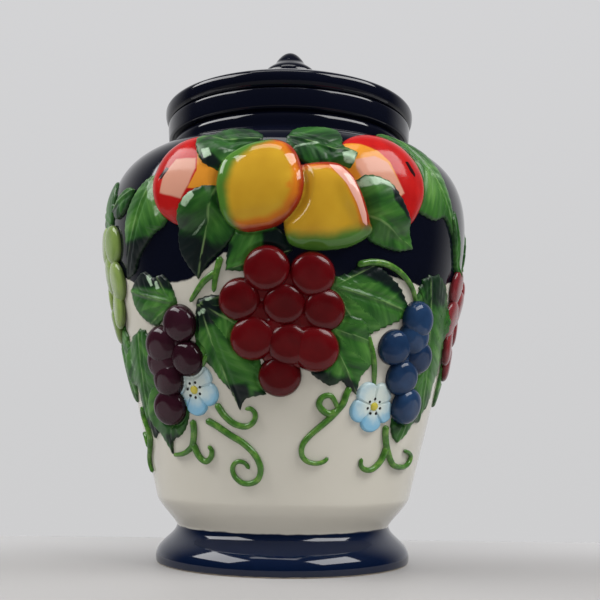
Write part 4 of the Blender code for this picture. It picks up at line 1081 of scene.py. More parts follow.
# %% The back and the sides
BACK = [
    pointed_leaf("leaf_back_left", -122.0, 0.660, 1.30, 0.57, 172.0),
    pointed_leaf("leaf_back_right", 122.0, 0.660, 1.30, 0.57, 8.0),
    vine_leaf("leaf_back_low_left", -160.0, 0.440, -60.0),
    vine_leaf("leaf_back_low_right", 160.0, 0.440, -120.0),
    apple("apple_back", 160.0, 0.735),
    peach("peach_back", -176.0, 0.700, 12.0),
    grapes("grapes_back", 180.0, 0.500,
           [(-1.30, 1.10), (1.40, 1.10), (-1.35, -0.85), (1.35, -0.75), (-0.90, -2.45), (0.80, -2.25),
            (0.00, -3.75)]),
]
SIDES = [
    pointed_leaf("leaf_green_top", -78.0, 0.760, 0.95, 0.68, 160.0),
    pointed_leaf("leaf_green_low", -76.0, 0.400, 1.00, 0.70, -80.0),
    pointed_leaf("leaf_side_top", 97.0, 0.690, 1.05, 0.67, 20.0),
    pointed_leaf("leaf_side_low", 84.0, 0.395, 0.95, 0.68, -100.0),
    grapes("grapes_green", -75.0, 0.600, [(1.40, 1.30), (-0.40, 1.55), (-1.95, 0.65), (1.40, -0.55),
                                          (-1.50, -1.00), (0.75, -1.85), (-0.40, -2.60)],
           lift=SIDE_GRAPE_LIFT),
    grapes("grapes_side_red", 77.0, 0.530, [(-1.35, 1.00), (1.50, 0.85), (-1.35, -0.65), (1.15, -0.85),
                                            (-0.50, -1.95), (0.50, -2.70)], lift=SIDE_GRAPE_LIFT),
]
print("back and sides:", len(BACK) + len(SIDES), "layers")

# %% The front
FRONT = [
    drawn_leaf("leaf_far_left", [
        (-57.5, 0.572), (-52.5, 0.582), (-49.5, 0.608), (-45.5, 0.632), (-41, 0.655), (-36, 0.675),
        (-35, 0.745), (-40.5, 0.785), (-45, 0.775), (-48.5, 0.758), (-52.5, 0.728), (-55.2, 0.69),
        (-55.8, 0.64)]),
    drawn_leaf("leaf_edge_left", [
        (-66, 0.735), (-62, 0.712), (-57.5, 0.715), (-53, 0.735), (-50.5, 0.762), (-54.5, 0.772),
        (-59.5, 0.765), (-63.5, 0.752)]),
    drawn_leaf("leaf_far_right", [
        (58.5, 0.682), (57.5, 0.73), (55, 0.775), (52, 0.83), (47.5, 0.88), (40, 0.912),
        (33, 0.92), (33, 0.88), (37, 0.84), (38.5, 0.8), (38, 0.765), (39.5, 0.712),
        (43, 0.702), (47.5, 0.7), (52.5, 0.712)]),
    drawn_leaf("leaf_edge_right", [
        (67.5, 0.598), (66.2, 0.66), (62.5, 0.705), (58, 0.738), (55.5, 0.715), (58.5, 0.68),
        (61.5, 0.645), (64.5, 0.61)]),
    drawn_leaf("leaf_over_purple", [
        (-56.5, 0.545), (-54.8, 0.505), (-50, 0.474), (-44.5, 0.46), (-39, 0.482), (-34.5, 0.503),
        (-36.5, 0.545), (-39.5, 0.565), (-43.5, 0.562), (-47.5, 0.578), (-51.5, 0.568)],
        veins=PALM),
    drawn_leaf("leaf_beside_purple", [
        (-58.8, 0.215), (-54.5, 0.235), (-51, 0.29), (-48, 0.35), (-47.5, 0.41), (-51.5, 0.452),
        (-57, 0.455), (-64, 0.432), (-70.5, 0.388), (-69, 0.345), (-64.5, 0.328), (-63.5, 0.275)],
        (0.0011, 0.005)),
    hanging_leaf("leaf_under_purple", -43.8, 0.385, [
        (-0.45, -4.45), (-0.25, -3.80), (0.35, -3.55), (0.90, -2.95), (1.25, -1.85), (0.80, -1.00),
        (-0.15, -0.85), (-1.10, -1.30), (-1.70, -2.20), (-1.50, -3.05), (-0.95, -3.70)]),
    drawn_leaf("leaf_beside_blue", [
        (59.8, 0.258), (61.2, 0.285), (64.5, 0.3), (64.8, 0.345), (67.2, 0.385), (65.8, 0.45),
        (63, 0.52), (57.5, 0.572), (51, 0.585), (44.5, 0.562), (42.5, 0.48), (45, 0.38),
        (48.5, 0.3), (53.5, 0.262)], (0.0016, 0.0048)),
    hanging_leaf("leaf_under_blue", 44.5, 0.462, [
        (0.30, -5.45), (0.75, -5.15), (1.25, -4.35), (0.75, -3.30), (0.00, -3.30), (-0.40, -4.35),
        (-0.15, -5.10)]),
    drawn_leaf("leaf_left_of_red", [
        (-15.2, 0.277), (-13, 0.3), (-6, 0.31), (-7.5, 0.37), (-12.5, 0.44), (-17, 0.505),
        (-22, 0.515), (-27.3, 0.508), (-29.2, 0.446), (-28.8, 0.408), (-27.2, 0.386),
        (-23.6, 0.362), (-21.7, 0.343), (-17.6, 0.312)], veins=PALM),
    drawn_leaf("leaf_right_of_red", [
        (41.5, 0.493), (36, 0.54), (31.5, 0.563), (27, 0.582), (22.5, 0.588), (18, 0.563),
        (13, 0.545), (12, 0.49), (17, 0.44), (25, 0.438), (31, 0.455), (36.5, 0.472)],
        (0.001, 0.0042), PALM),
    drawn_leaf("leaf_below_red", [
        (24.8, 0.312), (25.2, 0.35), (28.8, 0.383), (27.2, 0.425), (23, 0.47), (15, 0.475),
        (8.5, 0.45), (6.5, 0.4), (8, 0.358), (11.5, 0.34), (15, 0.33), (18.5, 0.342),
        (21.5, 0.325)], veins=PALM),
    drawn_leaf("leaf_over_red", [
        (1.5, 0.602), (0.5, 0.625), (-3, 0.648), (-8, 0.662), (-14.5, 0.645), (-16.8, 0.6),
        (-17.5, 0.563), (-10, 0.56), (-4, 0.57)]),
    apple("apple_left", -27.5, 0.757, 0.95),
    apple("apple_right", 26.2, 0.757, 1.08),
    drawn_leaf("leaf_top_left", [
        (-26, 0.83), (-24.6, 0.802), (-22.6, 0.778), (-19.8, 0.765), (-16.5, 0.765), (-12, 0.8),
        (-8.5, 0.825), (-7.6, 0.848), (-9.6, 0.866), (-14, 0.88), (-18.2, 0.884), (-21.5, 0.876),
        (-24.4, 0.856)]),
    drawn_leaf("leaf_top_right", [
        (18, 0.796), (16.2, 0.806), (14.9, 0.822), (15.8, 0.85), (15.2, 0.88), (11.5, 0.892),
        (5.4, 0.888), (1.2, 0.872), (-0.8, 0.84), (0.6, 0.806), (3.2, 0.786), (8.8, 0.77),
        (13.6, 0.774), (16.2, 0.768)]),
    drawn_leaf("leaf_mid_left", [
        (-26.2, 0.548), (-22.6, 0.58), (-18, 0.606), (-14.6, 0.634), (-14, 0.668), (-15.5, 0.7),
        (-18.2, 0.73), (-21, 0.731), (-24.2, 0.725), (-26.9, 0.714), (-28.9, 0.696), (-30.2, 0.678),
        (-31.3, 0.656), (-31.9, 0.635), (-31.4, 0.605), (-29.4, 0.578)]),
    drawn_leaf("leaf_mid_right", [
        (38.4, 0.626), (37.3, 0.645), (35.6, 0.672), (32.4, 0.698), (29.6, 0.722), (26.6, 0.744),
        (22.9, 0.754), (19.5, 0.754), (16.8, 0.742), (17, 0.715), (20, 0.665), (22.5, 0.635),
        (27, 0.622), (33, 0.617)], root=(17.5, 0.692)),
    drawn_peach("peach_right", [
        (3, 0.775), (-0.3, 0.734), (-1.2, 0.673), (-0.1, 0.621), (3.4, 0.606), (8.7, 0.603),
        (15.5, 0.61), (20.2, 0.625), (23, 0.646), (21.9, 0.665), (20.2, 0.697), (18.4, 0.728),
        (16.2, 0.758), (12.5, 0.78), (7.7, 0.781)]),
    drawn_peach("peach_left", [
        (-18.4, 0.707), (-17.7, 0.676), (-15.2, 0.649), (-11.2, 0.638), (-6.7, 0.641), (-2.5, 0.651),
        (0.8, 0.671), (3.1, 0.698), (4, 0.729), (3.7, 0.762), (2.4, 0.796), (0, 0.82),
        (-3.8, 0.831), (-8.4, 0.826), (-12.4, 0.814), (-15.8, 0.796), (-17.9, 0.77), (-18.8, 0.738)]),
    blossom("flower_left", -31.4, 0.321, 198.0),
    blossom("flower_right", 31.6, 0.291, 198.0),
    grapes("grapes_red", -0.5, 0.495, [(-0.80, 1.54), (1.17, 1.33), (-1.96, 0.21), (1.70, -0.21),
                                       (-1.33, -1.48), (0.21, -1.75), (1.33, -1.91), (-0.16, -3.18)]),
    grapes("grapes_purple", -42.6, 0.385, [(1.48, 1.88), (0.17, 0.85), (1.65, 0.06), (0.23, -0.97),
                                           (0.00, -2.44)], 0.88),
    grapes("grapes_blue", 43.4, 0.444, [(0.02, 0.95), (-1.24, -0.66), (0.60, -1.05), (-0.31, -2.23),
                                       (0.38, -3.74)], 0.86),
]

# %% Rest every layer on those below
layers = [layer if isinstance(layer, list) else [layer] for layer in BACK + SIDES + FRONT]
rested_layers = [[rest_on_map(form, number) for form in layer] for number, layer in enumerate(layers)]
print("layers:", len(layers), " highest relief:", round(relief.max() * 1000, 1), "mm")

# %% [markdown]
# ## Leaf glaze
# The leaves are painted with a loaded brush: long feathered strokes run out from the midrib, from nearly
# black green to a bright one. Pale patches on them are mostly painted highlights, where the glaze's gloss
# is painted in, and a few are pale brush strokes. A darker rim along each leaf's edge is painted shade.
# The stored leaf coordinates let the noise be stretched along those strokes. Each leaf also stores how dark
# it is painted in each place, because no two were painted alike, and where its pale patches lie.

# %% Leaf glaze
LEAF_GREENS = ((0.0, (8, 20, 20)), (0.22, (14, 42, 20)), (0.44, (34, 80, 28)), (0.62, (56, 106, 40)),
               (0.84, (90, 138, 62)), (1.0, (140, 170, 104)))


def leaf_glaze():
    """Feathered brush strokes that follow each leaf's own veins."""
    material, tree, here = new_glaze("leaf glaze")
    u, v, share = apart(tree, kept(tree, "form"))
    dark, pale, seed = apart(tree, kept(tree, "tone"))
    off = maths(tree, "ABSOLUTE", v)
    slant = maths(tree, "SUBTRACT", u, maths(tree, "MULTIPLY", off, VEIN_SLANT))
    side = maths(tree, "MULTIPLY", maths(tree, "SIGN", v), 0.37)
    seeded = maths(tree, "ADD", maths(tree, "MULTIPLY", seed, 7.0), side)
    strokes = noise(tree, together(tree, slant, maths(tree, "MULTIPLY", off, 0.22), seeded), 300.0, 3.0)
    broad = noise(tree, together(tree, slant, maths(tree, "MULTIPLY", off, 0.6), seeded), 90.0, 2.0)
    tone = maths(tree, "ADD", maths(tree, "MULTIPLY_ADD", strokes, 0.55, -0.275),
                 maths(tree, "MULTIPLY_ADD", broad, 0.85, 0.12))
    tone = maths(tree, "SUBTRACT", tone, maths(tree, "MULTIPLY", dark, 0.52))
    green = ramp(tree, tone, *((place, seen_as(*colour)) for place, colour in LEAF_GREENS))
    line = soft_step(tree, off, 0.0007, 0.0002)
    broken = soft_step(tree, noise(tree, together(tree, u, 0.0, seeded), 150.0, 1.0), 0.42, 0.60)
    midline = maths(tree, "MULTIPLY", maths(tree, "MULTIPLY", line, broken), 0.35)
    green = blend(tree, midline, green, seen_as(150, 182, 116))
    # The pale patches are mostly painted highlights, the glaze's gloss painted in, and partly pale brush
    # strokes.
    ragged = maths(tree, "MULTIPLY_ADD", noise(tree, here, 420.0, 3.0, 0.6), 1.3, 0.15)
    wiped_and_sheen = maths(tree, "MULTIPLY", soft_step(tree, maths(tree, "MULTIPLY", pale, ragged), 0.35, 0.90), 0.8)
    green = blend(tree, wiped_and_sheen, green, seen_as(172, 198, 168))
    # Painted shade: each leaf darkens along its rim, where it meets the wall.
    rim_shade = maths(tree, "MULTIPLY", soft_step(tree, share, 0.90, 1.0), 0.45)
    green = blend(tree, rim_shade, green, seen_as(20, 44, 24))
    return fire(material, here, green, gloss=0.30, ripple=0.30, shine=0.36,
                relief=maths(tree, "MULTIPLY", strokes, 0.04))


leaf_material = leaf_glaze()
print("fired:", leaf_material.name)

# %% [markdown]
# ## Fruit glaze
# Apples are yellow under red: the painter laid a cream and orange cheek and drew the red round it, and the
# pale cream-pink of that cheek is partly its own paint and partly a painted highlight of the softbox. A
# peach is golden, with a red blush on one side and green near its leaf, and on peach_right a pale pink
# band along its upper right edge is a painted reflection of the right softbox. Each fruit stores three
# amounts from its painting plan, and the shader blends the glazes by them.

# %% Apple and peach glazes
def apple_glaze():
    """Red round a cream and orange cheek, whose pale part is partly a painted highlight."""
    material, tree, here = new_glaze("apple glaze")
    cheek_and_highlight, gold, dark = apart(tree, kept(tree, "tone"))
    stir = maths(tree, "MULTIPLY_ADD", noise(tree, here, 190.0, 3.0, 0.6), 0.36, -0.18)
    red = blend(tree, noise(tree, here, 120.0, 3.0), seen_as(150, 16, 20), seen_as(196, 34, 30))
    golden = soft_step(tree, maths(tree, "ADD", gold, stir), 0.25, 0.70)
    # The pale cheek colour is partly cream paint and partly a painted highlight of the softbox.
    pale = soft_step(tree, maths(tree, "MULTIPLY_ADD", stir, 0.5, cheek_and_highlight), 0.30, 0.70)
    marked = soft_step(tree, maths(tree, "ADD", dark, stir), 0.55, 0.80)
    colour = red
    for share, paint in ((golden, (208, 136, 44)), (pale, (204, 146, 124)), (marked, (40, 12, 14))):
        colour = blend(tree, share, colour, seen_as(*paint))
    return fire(material, here, colour, gloss=0.10, ripple=0.18, shine=0.22)


def peach_glaze():
    """Golden, red where the gold stops, green near the leaf, and a pale pink painted reflection of the softbox.
    """
    material, tree, here = new_glaze("peach glaze")
    yellow, green, pink = apart(tree, kept(tree, "tone"))
    stir = maths(tree, "MULTIPLY_ADD", noise(tree, here, 150.0, 3.0, 0.6), 0.24, -0.12)
    blush = maths(tree, "SUBTRACT", maths(tree, "ADD", stir, 1.0), yellow)
    gold = blend(tree, noise(tree, here, 60.0, 2.0), seen_as(168, 122, 30), seen_as(206, 164, 46))
    rose = blend(tree, soft_step(tree, blush, 0.55, 0.95), seen_as(198, 112, 30), seen_as(146, 40, 22))
    blushed = blend(tree, soft_step(tree, blush, 0.10, 0.55), gold, rose)
    shaded = blend(tree, soft_step(tree, maths(tree, "ADD", green, stir), 0.15, 0.80), blushed,
                   seen_as(74, 118, 44))
    # The pale pink band is a painted reflection of the right softbox.
    wiped_and_sheen = blend(tree, soft_step(tree, maths(tree, "ADD", pink, stir), 0.40, 0.65), shaded,
                  seen_as(222, 164, 150))
    return fire(material, here, wiped_and_sheen, gloss=0.03, ripple=0.18)


apple_material = apple_glaze()
peach_material = peach_glaze()
print("fired:", apple_material.name, "and", peach_material.name)

# %% [markdown]
# ## Grape glaze
# Grapes are one deep colour each. Each grape darkens towards its foot, where it meets its neighbours
# and the wall: that is painted shade. Each grape differs a little from the next. One function fires all
# six kinds from a table of their colours, each given as its deep tone and its light one.

# %% Grape glazes
def grape_glaze(name, deep, light, gloss):
    """A deep glaze with painted shade, darker at the foot of each grape."""
    material, tree, here = new_glaze(name)
    high = apart(tree, kept(tree, "form"))[2]
    mottle = maths(tree, "MULTIPLY_ADD", noise(tree, here, 130.0, 3.0), 0.8, -0.35)
    share = maths(tree, "ADD", maths(tree, "MULTIPLY", kept(tree, "chance", "Fac"), 0.45), mottle, clamp=True)
    body = blend(tree, share, deep, light)
    # Painted shade: the foot of each grape is darkened where it meets its neighbours and the wall.
    foot = maths(tree, "MULTIPLY", soft_step(tree, high, 0.45, 0.05), 0.65)
    dark = tuple(0.25 * c for c in deep)
    return fire(material, here, blend(tree, foot, body, dark), gloss=gloss, ripple=0.15, shine=0.34)


GRAPE_COLOURS = {
    "grapes_red": ("red", (72, 6, 10), (108, 12, 18), 0.15),
    "grapes_side_red": ("rose", (112, 34, 40), (140, 66, 66), 0.08),
    "grapes_purple": ("purple", (40, 14, 24), (58, 28, 40), 0.08),
    "grapes_back": ("plum", (40, 14, 24), (58, 28, 40), 0.08),
    "grapes_blue": ("blue", (20, 38, 66), (42, 70, 106), 0.08),
    "grapes_green": ("green", (104, 130, 62), (152, 170, 100), 0.08),
}
grape_materials = {node: grape_glaze(kind + " grape glaze", seen_as(*deep), seen_as(*light), gloss)
                   for node, (kind, deep, light, gloss) in GRAPE_COLOURS.items()}
print("fired:", ", ".join(material.name for material in grape_materials.values()))

# %% [markdown]
# ## Blossom, dot and vine glazes
# The petals are white at the heart and sky blue outside, the middle is yellow with black dots round it,
# and the vines are a mottled green, yellower than the leaves.

# %% Blossom and vine glazes
def petal_glaze():
    """White that turns to sky blue towards the petals' ends."""
    material, tree, here = new_glaze("petal glaze")
    stir = maths(tree, "MULTIPLY_ADD", noise(tree, here, 260.0, 3.0), 0.5, -0.25)
    bluest = maths(tree, "MULTIPLY", kept(tree, "share", "Fac"), kept(tree, "blue", "Fac"))
    amount = soft_step(tree, maths(tree, "ADD", bluest, stir), 0.10, 0.95)
    return fire(material, here, blend(tree, amount, seen_as(204, 214, 206), seen_as(120, 172, 200)), ripple=0.2)


def plain_glaze(name, first, second):
    """One colour that wanders a little towards another."""
    material, tree, here = new_glaze(name)
    return fire(material, here, blend(tree, noise(tree, here, 120.0, 2.0), first, second), ripple=0.15)


def vine_glaze():
    """Yellow-green, mottled darker and paler."""
    material, tree, here = new_glaze("vine glaze")
    mottle = noise(tree, here, 260.0, 3.0, 0.6)
    colour = ramp(tree, mottle, (0.25, seen_as(44, 84, 28)), (0.5, seen_as(66, 112, 40)),
                  (0.75, seen_as(110, 146, 66)))
    return fire(material, here, colour, ripple=0.2)


petal_material = petal_glaze()
vine_material = vine_glaze()
heart_material = plain_glaze("blossom heart glaze", seen_as(206, 190, 74), seen_as(178, 170, 62))
dot_material = plain_glaze("black dot glaze", seen_as(16, 16, 18), seen_as(26, 26, 28))
print("fired:", petal_material.name + ",", vine_material.name + ",", heart_material.name, "and",
      dot_material.name)

# %% [markdown]
# ## Painting plans
# A plan says, for one form, where each glaze lies. Like a painter's stencil, each area has corners on the
# wall (azimuth and climb), a soft edge in millimetres and a strength; a negative strength takes glaze
# away. This keeps the painting out of the shader, where it would be a thicket of nodes.

# %% Stencils
def stencil(form, x, y, corners, soft):
    """1 inside the corners, and fading to 0 outside over a soft edge in millimetres."""
    px, py = form.flat(*np.array(corners).T)
    inside = np.zeros(x.shape, dtype=bool)
    nearest = np.full(x.shape, np.inf)
    for x0, y0, x1, y1 in zip(px, py, np.roll(px, -1), np.roll(py, -1)):
        run, rise = x1 - x0, y1 - y0
        way = np.clip(((x - x0) * run + (y - y0) * rise) / (run ** 2 + rise ** 2), 0.0, 1.0)
        nearest = np.minimum(nearest, np.hypot(x - x0 - way * run, y - y0 - way * rise))
        if rise:
            inside ^= ((y0 > y) != (y1 > y)) & (x < x0 + run * (y - y0) / rise)
    return np.clip(0.5 + np.where(inside, nearest, -nearest) / (0.001 * soft), 0.0, 1.0)


def painted(form, x, y, areas):
    """The sum of a plan's areas, each (strength, softness, corners)."""
    total = np.zeros_like(x)
    for strength, soft, corners in areas:
        total += strength * stencil(form, x, y, corners, soft)
    return total


def band(left, right, low, high):
    """The corners of an upright rectangle on the wall."""
    return [(left, high), (right, high), (right, low), (left, low)]


# %% Plans for the leaves: where each is painted dark, and where it is pale, mostly with painted highlights
LEAF_PLANS = {
    "leaf_mid_left": (
        [(1.1, 6.0, [(-33, 0.65), (-24.3, 0.625), (-17.4, 0.606), (-11.9, 0.625), (-12.6, 0.575),
            (-19.9, 0.54), (-27.6, 0.54), (-33, 0.58)]),
         (0.3, 4.0, band(-33, -12, 0.6, 0.75)),
         (-0.2, 3.0, [(-23.5, 0.693), (-19, 0.708), (-16.5, 0.667), (-17.2, 0.636), (-22.4, 0.635),
             (-25.5, 0.663)])],
        [(1.2, 1.0, [(-24.5, 0.722), (-23.5, 0.712), (-26.3, 0.691), (-27.9, 0.698), (-26.7, 0.714)]),
         (0.8, 0.8, [(-26.9, 0.637), (-25.4, 0.648), (-21.5, 0.673), (-22.7, 0.659), (-25.5, 0.636)])]),
    "leaf_far_left": (
        [(1.4, 4.0, [(-58, 0.645), (-40.5, 0.645), (-34, 0.622), (-37.4, 0.553), (-58, 0.556)]),
         (-0.25, 5.0, band(-56, -36, 0.68, 0.8))],
        [(0.9, 1.5, [(-43.6, 0.77), (-40.7, 0.772), (-39.4, 0.746), (-40.3, 0.717), (-42.9, 0.729)]),
         (0.8, 1.5, [(-40, 0.716), (-37.6, 0.714), (-37.3, 0.696), (-39.3, 0.684), (-40.4, 0.7)])]),
    "leaf_edge_left": ([(0.6, 3.0, band(-67, -58, 0.7, 0.74))], []),
    "leaf_top_left": (
        [(1.2, 1.5, [(-22.5, 0.787), (-20.8, 0.795), (-17.5, 0.777), (-17.8, 0.765), (-21.9, 0.767)]),
         (0.36, 6.0, [(-24, 0.88), (-4, 0.885), (-4, 0.79), (-24, 0.79)])],
        [(1.2, 1.0, [(-23, 0.8), (-20.8, 0.803), (-19.6, 0.786), (-21.6, 0.78)]),
         (0.8, 0.8, [(-17.9, 0.797), (-17.3, 0.804), (-10.3, 0.82), (-9.8, 0.812), (-14.7, 0.808),
             (-17.1, 0.795)])]),
    "leaf_top_right": (
        [(0.38, 6.0, band(-1, 18, 0.78, 0.89))],
        [(0.8, 0.8, [(0.4, 0.808), (1.2, 0.817), (3.5, 0.824), (8.6, 0.831), (8.6, 0.823), (3.7, 0.816)]),
         (1.2, 1.2, [(13.9, 0.8), (16.2, 0.802), (18, 0.792), (16.6, 0.774), (14.2, 0.78)])]),
    "leaf_over_red": (
        [(1.4, 2.0, [(-6.3, 0.637), (-1.9, 0.643), (2.5, 0.621), (2.5, 0.594), (-4.5, 0.593),
            (-6.5, 0.613)]),
         (0.9, 2.0, [(-16.5, 0.631), (-15, 0.611), (-17.4, 0.575), (-19, 0.592)])], []),
    "leaf_over_purple": (
        [(1.2, 2.5, [(-58, 0.577), (-42.5, 0.58), (-33, 0.565), (-28.8, 0.537), (-31.8, 0.526),
            (-40, 0.539), (-49.2, 0.55), (-58, 0.55)])],
        [(1.2, 0.7, [(-46, 0.569), (-44.5, 0.572), (-42.4, 0.545), (-43.8, 0.544)]),
         (1.2, 0.7, [(-42.2, 0.555), (-40.9, 0.554), (-40, 0.537), (-41.4, 0.536)])]),
    "leaf_left_of_red": (
        [(1.0, 3.0, [(-28.5, 0.507), (-20.4, 0.525), (-16, 0.504), (-21, 0.46), (-28.5, 0.441)]),
         (1.5, 3.0, [(-20.3, 0.324), (-12.3, 0.332), (-12, 0.265), (-16.1, 0.265)]),
         (0.9, 1.5, [(-10.1, 0.318), (-4.7, 0.324), (-4.7, 0.3), (-9.9, 0.299)])],
        [(1.2, 0.7, [(-24.6, 0.508), (-22, 0.513), (-21.4, 0.507), (-24, 0.502)]),
         (1.2, 0.7, [(-27.2, 0.482), (-24.5, 0.49), (-23.9, 0.483), (-26.7, 0.474)])]),
    "leaf_right_of_red": (
        [(1.2, 3.0, [(14.9, 0.584), (14.9, 0.6), (26.1, 0.599), (34.4, 0.565), (42, 0.52), (37.5, 0.515),
            (28.3, 0.547), (21, 0.565), (15.5, 0.554)])], []),
    "leaf_below_red": (
        [(0.9, 2.5, [(6.9, 0.358), (11.5, 0.325), (15.6, 0.32), (19.1, 0.328), (23.4, 0.305), (27.5, 0.317),
            (22.7, 0.345), (15.5, 0.352), (9.9, 0.371)])], []),
    "leaf_mid_right": (
        [(1.3, 1.2, [(26.5, 0.734), (28.2, 0.734), (31.7, 0.706), (35.7, 0.679), (32, 0.687),
            (27.3, 0.712)])],
        [(1.2, 1.2, [(17.4, 0.742), (19.3, 0.752), (22.9, 0.751), (26.2, 0.744), (27.3, 0.731),
            (24.2, 0.738), (20.9, 0.733), (18.6, 0.731)])]),
    "leaf_far_right": ([(-0.3, 5.0, [(42, 0.83), (54, 0.8), (54, 0.74), (42, 0.74)])],
                       [(0.6, 4.0, [(44, 0.83), (51, 0.81), (52, 0.78), (45, 0.79)])]),
    "leaf_beside_purple": ([(1.0, 4.0, band(-62, -54, 0.2, 0.26))],
                           [(0.6, 2.0, [(-66, 0.4), (-63, 0.4), (-60, 0.37), (-63, 0.365)])]),
    "leaf_under_purple": ([(0.8, 3.0, band(-48, -42, 0.17, 0.225))], []),
    "leaf_beside_blue": (
        [(0.6, 3.0, [(43.6, 0.555), (44, 0.6), (60, 0.59), (58, 0.525), (47.3, 0.511)])], []),
}
print("leaf plans:", len(LEAF_PLANS))

# %% Plans for the fruit: an apple's cheek, partly a painted highlight, gold and dark marks, and a peach's yellow, green and pink, the pink a painted reflection
FRUIT_PLANS = {
    "apple_left": (
        [(0.8, 2.2, [(-35.3, 0.727), (-34.3, 0.759), (-30.4, 0.79), (-24.2, 0.786), (-23.8, 0.765),
            (-25.5, 0.735), (-28, 0.709)])],
        [(1.0, 1.5, [(-24.3, 0.801), (-23.1, 0.796), (-21.3, 0.778), (-19.5, 0.764), (-14, 0.747),
            (-14, 0.722), (-26, 0.728), (-23.6, 0.76), (-23.8, 0.784)])],
        [(1.0, 1.2, [(-33.3, 0.778), (-32.1, 0.772), (-34.8, 0.752), (-36.2, 0.76)])]),
    "apple_right": (
        [(0.8, 2.2, [(17, 0.785), (22.5, 0.795), (26.2, 0.785), (28.5, 0.76), (31.1, 0.73), (29.7, 0.722),
            (26.2, 0.743), (21.7, 0.751), (18.7, 0.748), (17.2, 0.768)])],
        [(1.0, 2.0, [(15, 0.825), (19.3, 0.819), (23.7, 0.806), (26.8, 0.786), (28.8, 0.755), (30.4, 0.73),
            (27, 0.7), (17, 0.74), (13, 0.76)])],
        [(1.0, 1.4, [(31.8, 0.795), (33.4, 0.799), (35.7, 0.775), (35.1, 0.766), (33.4, 0.775)])]),
    "apple_back": (
        [(0.6, 6.0, [(160, 0.8), (166, 0.795), (167, 0.755), (160, 0.745)])],
        [(1.0, 9.0, [(146, 0.79), (155, 0.815), (162, 0.79), (161, 0.715), (150, 0.7)])], []),
    "peach_left": (
        [(1.0, 7.0, [(-9.7, 0.806), (-2.2, 0.808), (0.6, 0.78), (1.8, 0.748), (1.4, 0.714), (-0.7, 0.681),
            (-4.8, 0.661), (-11.2, 0.654), (-16, 0.66), (-18, 0.7), (-17, 0.76), (-13.5, 0.79)]),
         (-0.25, 1.0, [(-1, 0.729), (0.4, 0.732), (0.7, 0.72), (-0.8, 0.717)])],
        [(0.9, 6.5, [(-4.4, 0.85), (-14, 0.835), (-19, 0.79), (-20, 0.731), (-20, 0.66), (-14.9, 0.63),
            (-12.3, 0.639), (-14.5, 0.675), (-15.3, 0.724), (-13.5, 0.769), (-9.2, 0.799), (-4.2, 0.813)])],
        []),
    "peach_right": (
        [(1.0, 4.5, [(-3, 0.765), (10.6, 0.765), (13.4, 0.745), (15.7, 0.714), (17.7, 0.678), (18.9, 0.654),
            (16, 0.59), (5.6, 0.59), (-4, 0.59), (-4, 0.7)])],
        [(1.0, 9.0, [(-3, 0.64), (3.1, 0.631), (10.5, 0.633), (18.7, 0.655), (24, 0.66), (24, 0.59),
            (13.3, 0.58), (3.2, 0.58), (-3, 0.59)])],
        [(1.0, 1.2, [(10.2, 0.772), (12.9, 0.768), (16.2, 0.744), (17.8, 0.714), (19.6, 0.679),
            (20.3, 0.655), (18.9, 0.662), (16.6, 0.699), (14.4, 0.728), (11.6, 0.755)])]),
    "peach_back": (
        [(1.0, 11.0, [(-184, 0.76), (-175, 0.765), (-169, 0.735), (-170, 0.68), (-178, 0.645), (-187, 0.66),
            (-189, 0.72)])],
        [(0.9, 7.0, [(-192, 0.69), (-184, 0.668), (-176, 0.64), (-176, 0.6), (-192, 0.6)])],
        []),
}
print("fruit plans:", len(FRUIT_PLANS))

# %% [markdown]
# ## Pressing every form
# Now each layer becomes a piece. Leaves store their midrib coordinates for the brush strokes, fruit its
# three glaze amounts and petals how blue they are. A bunch is handed to the grape tree as bare points at
# the height they rest on, and small grapes behind fill its gaps.

# %% Leaves, fruit and petals
LAYER_OF = {layer[0].name: number for number, layer in enumerate(layers)}


def pressed(rested, above, glaze, marks, rings):
    """A form pressed on the wall, with what marks(form, x, y, share) gives to store for its glaze."""
    form = rested.form
    mesh, share = form_mesh(rested, above, rings)
    x, y, _ = vertices_of(mesh).T
    for name, values in marks(form, x, y, share).items():
        store(mesh, name, values)
    return press(form, mesh, glaze)


def leaf_marks(form, x, y, share):
    """Where each vertex lies along and off its vein, how dark the leaf is painted there, and how pale, mostly
    from painted highlights.
    """
    u, v, _ = along_and_off(form.axes, x, y)
    dark, pale = (painted(form, x, y, areas) for areas in LEAF_PLANS.get(form.name, ([], [])))
    return {"form": np.stack([u, v, share], axis=1),
            "tone": np.stack([dark, pale, np.full_like(x, LAYER_OF[form.name])], axis=1)}


def fruit_marks(form, x, y, _):
    """The three glaze amounts of an apple or a peach."""
    return {"tone": np.stack([painted(form, x, y, areas) for areas in FRUIT_PLANS[form.name]], axis=1)}


def petal_marks(_, x, y, share):
    """How far out a petal's vertex is, and how blue the petal: the lowest two are the bluest."""
    return {"share": share, "blue": 0.75 + 0.35 * np.cos(np.arctan2(y, x) - radians(70.0))}


# %% One bunch of grapes
GRAPE_LIFT, GRAPE_SINK, GRAPE_BASE = 0.0056, 0.0025, 0.0009
SMALL_SIZE, SMALL_LIFT, SMALL_SINK, SMALL_BACK = 0.6, 0.62, 0.0020, 0.0006
CLOSE = 2.6
GRAPE_SEGMENTS, SMALL_SEGMENTS = 36, 20
SMALL_SEED = 50


def joined(name, meshes):
    """Several meshes as one, keeping their glazes."""
    holders = [in_scene(name, mesh) for mesh in meshes]
    with bpy.context.temp_override(active_object=holders[0], selected_editable_objects=holders):
        bpy.ops.object.join()
    mesh = holders[0].data
    bpy.data.objects.remove(holders[0])
    return mesh


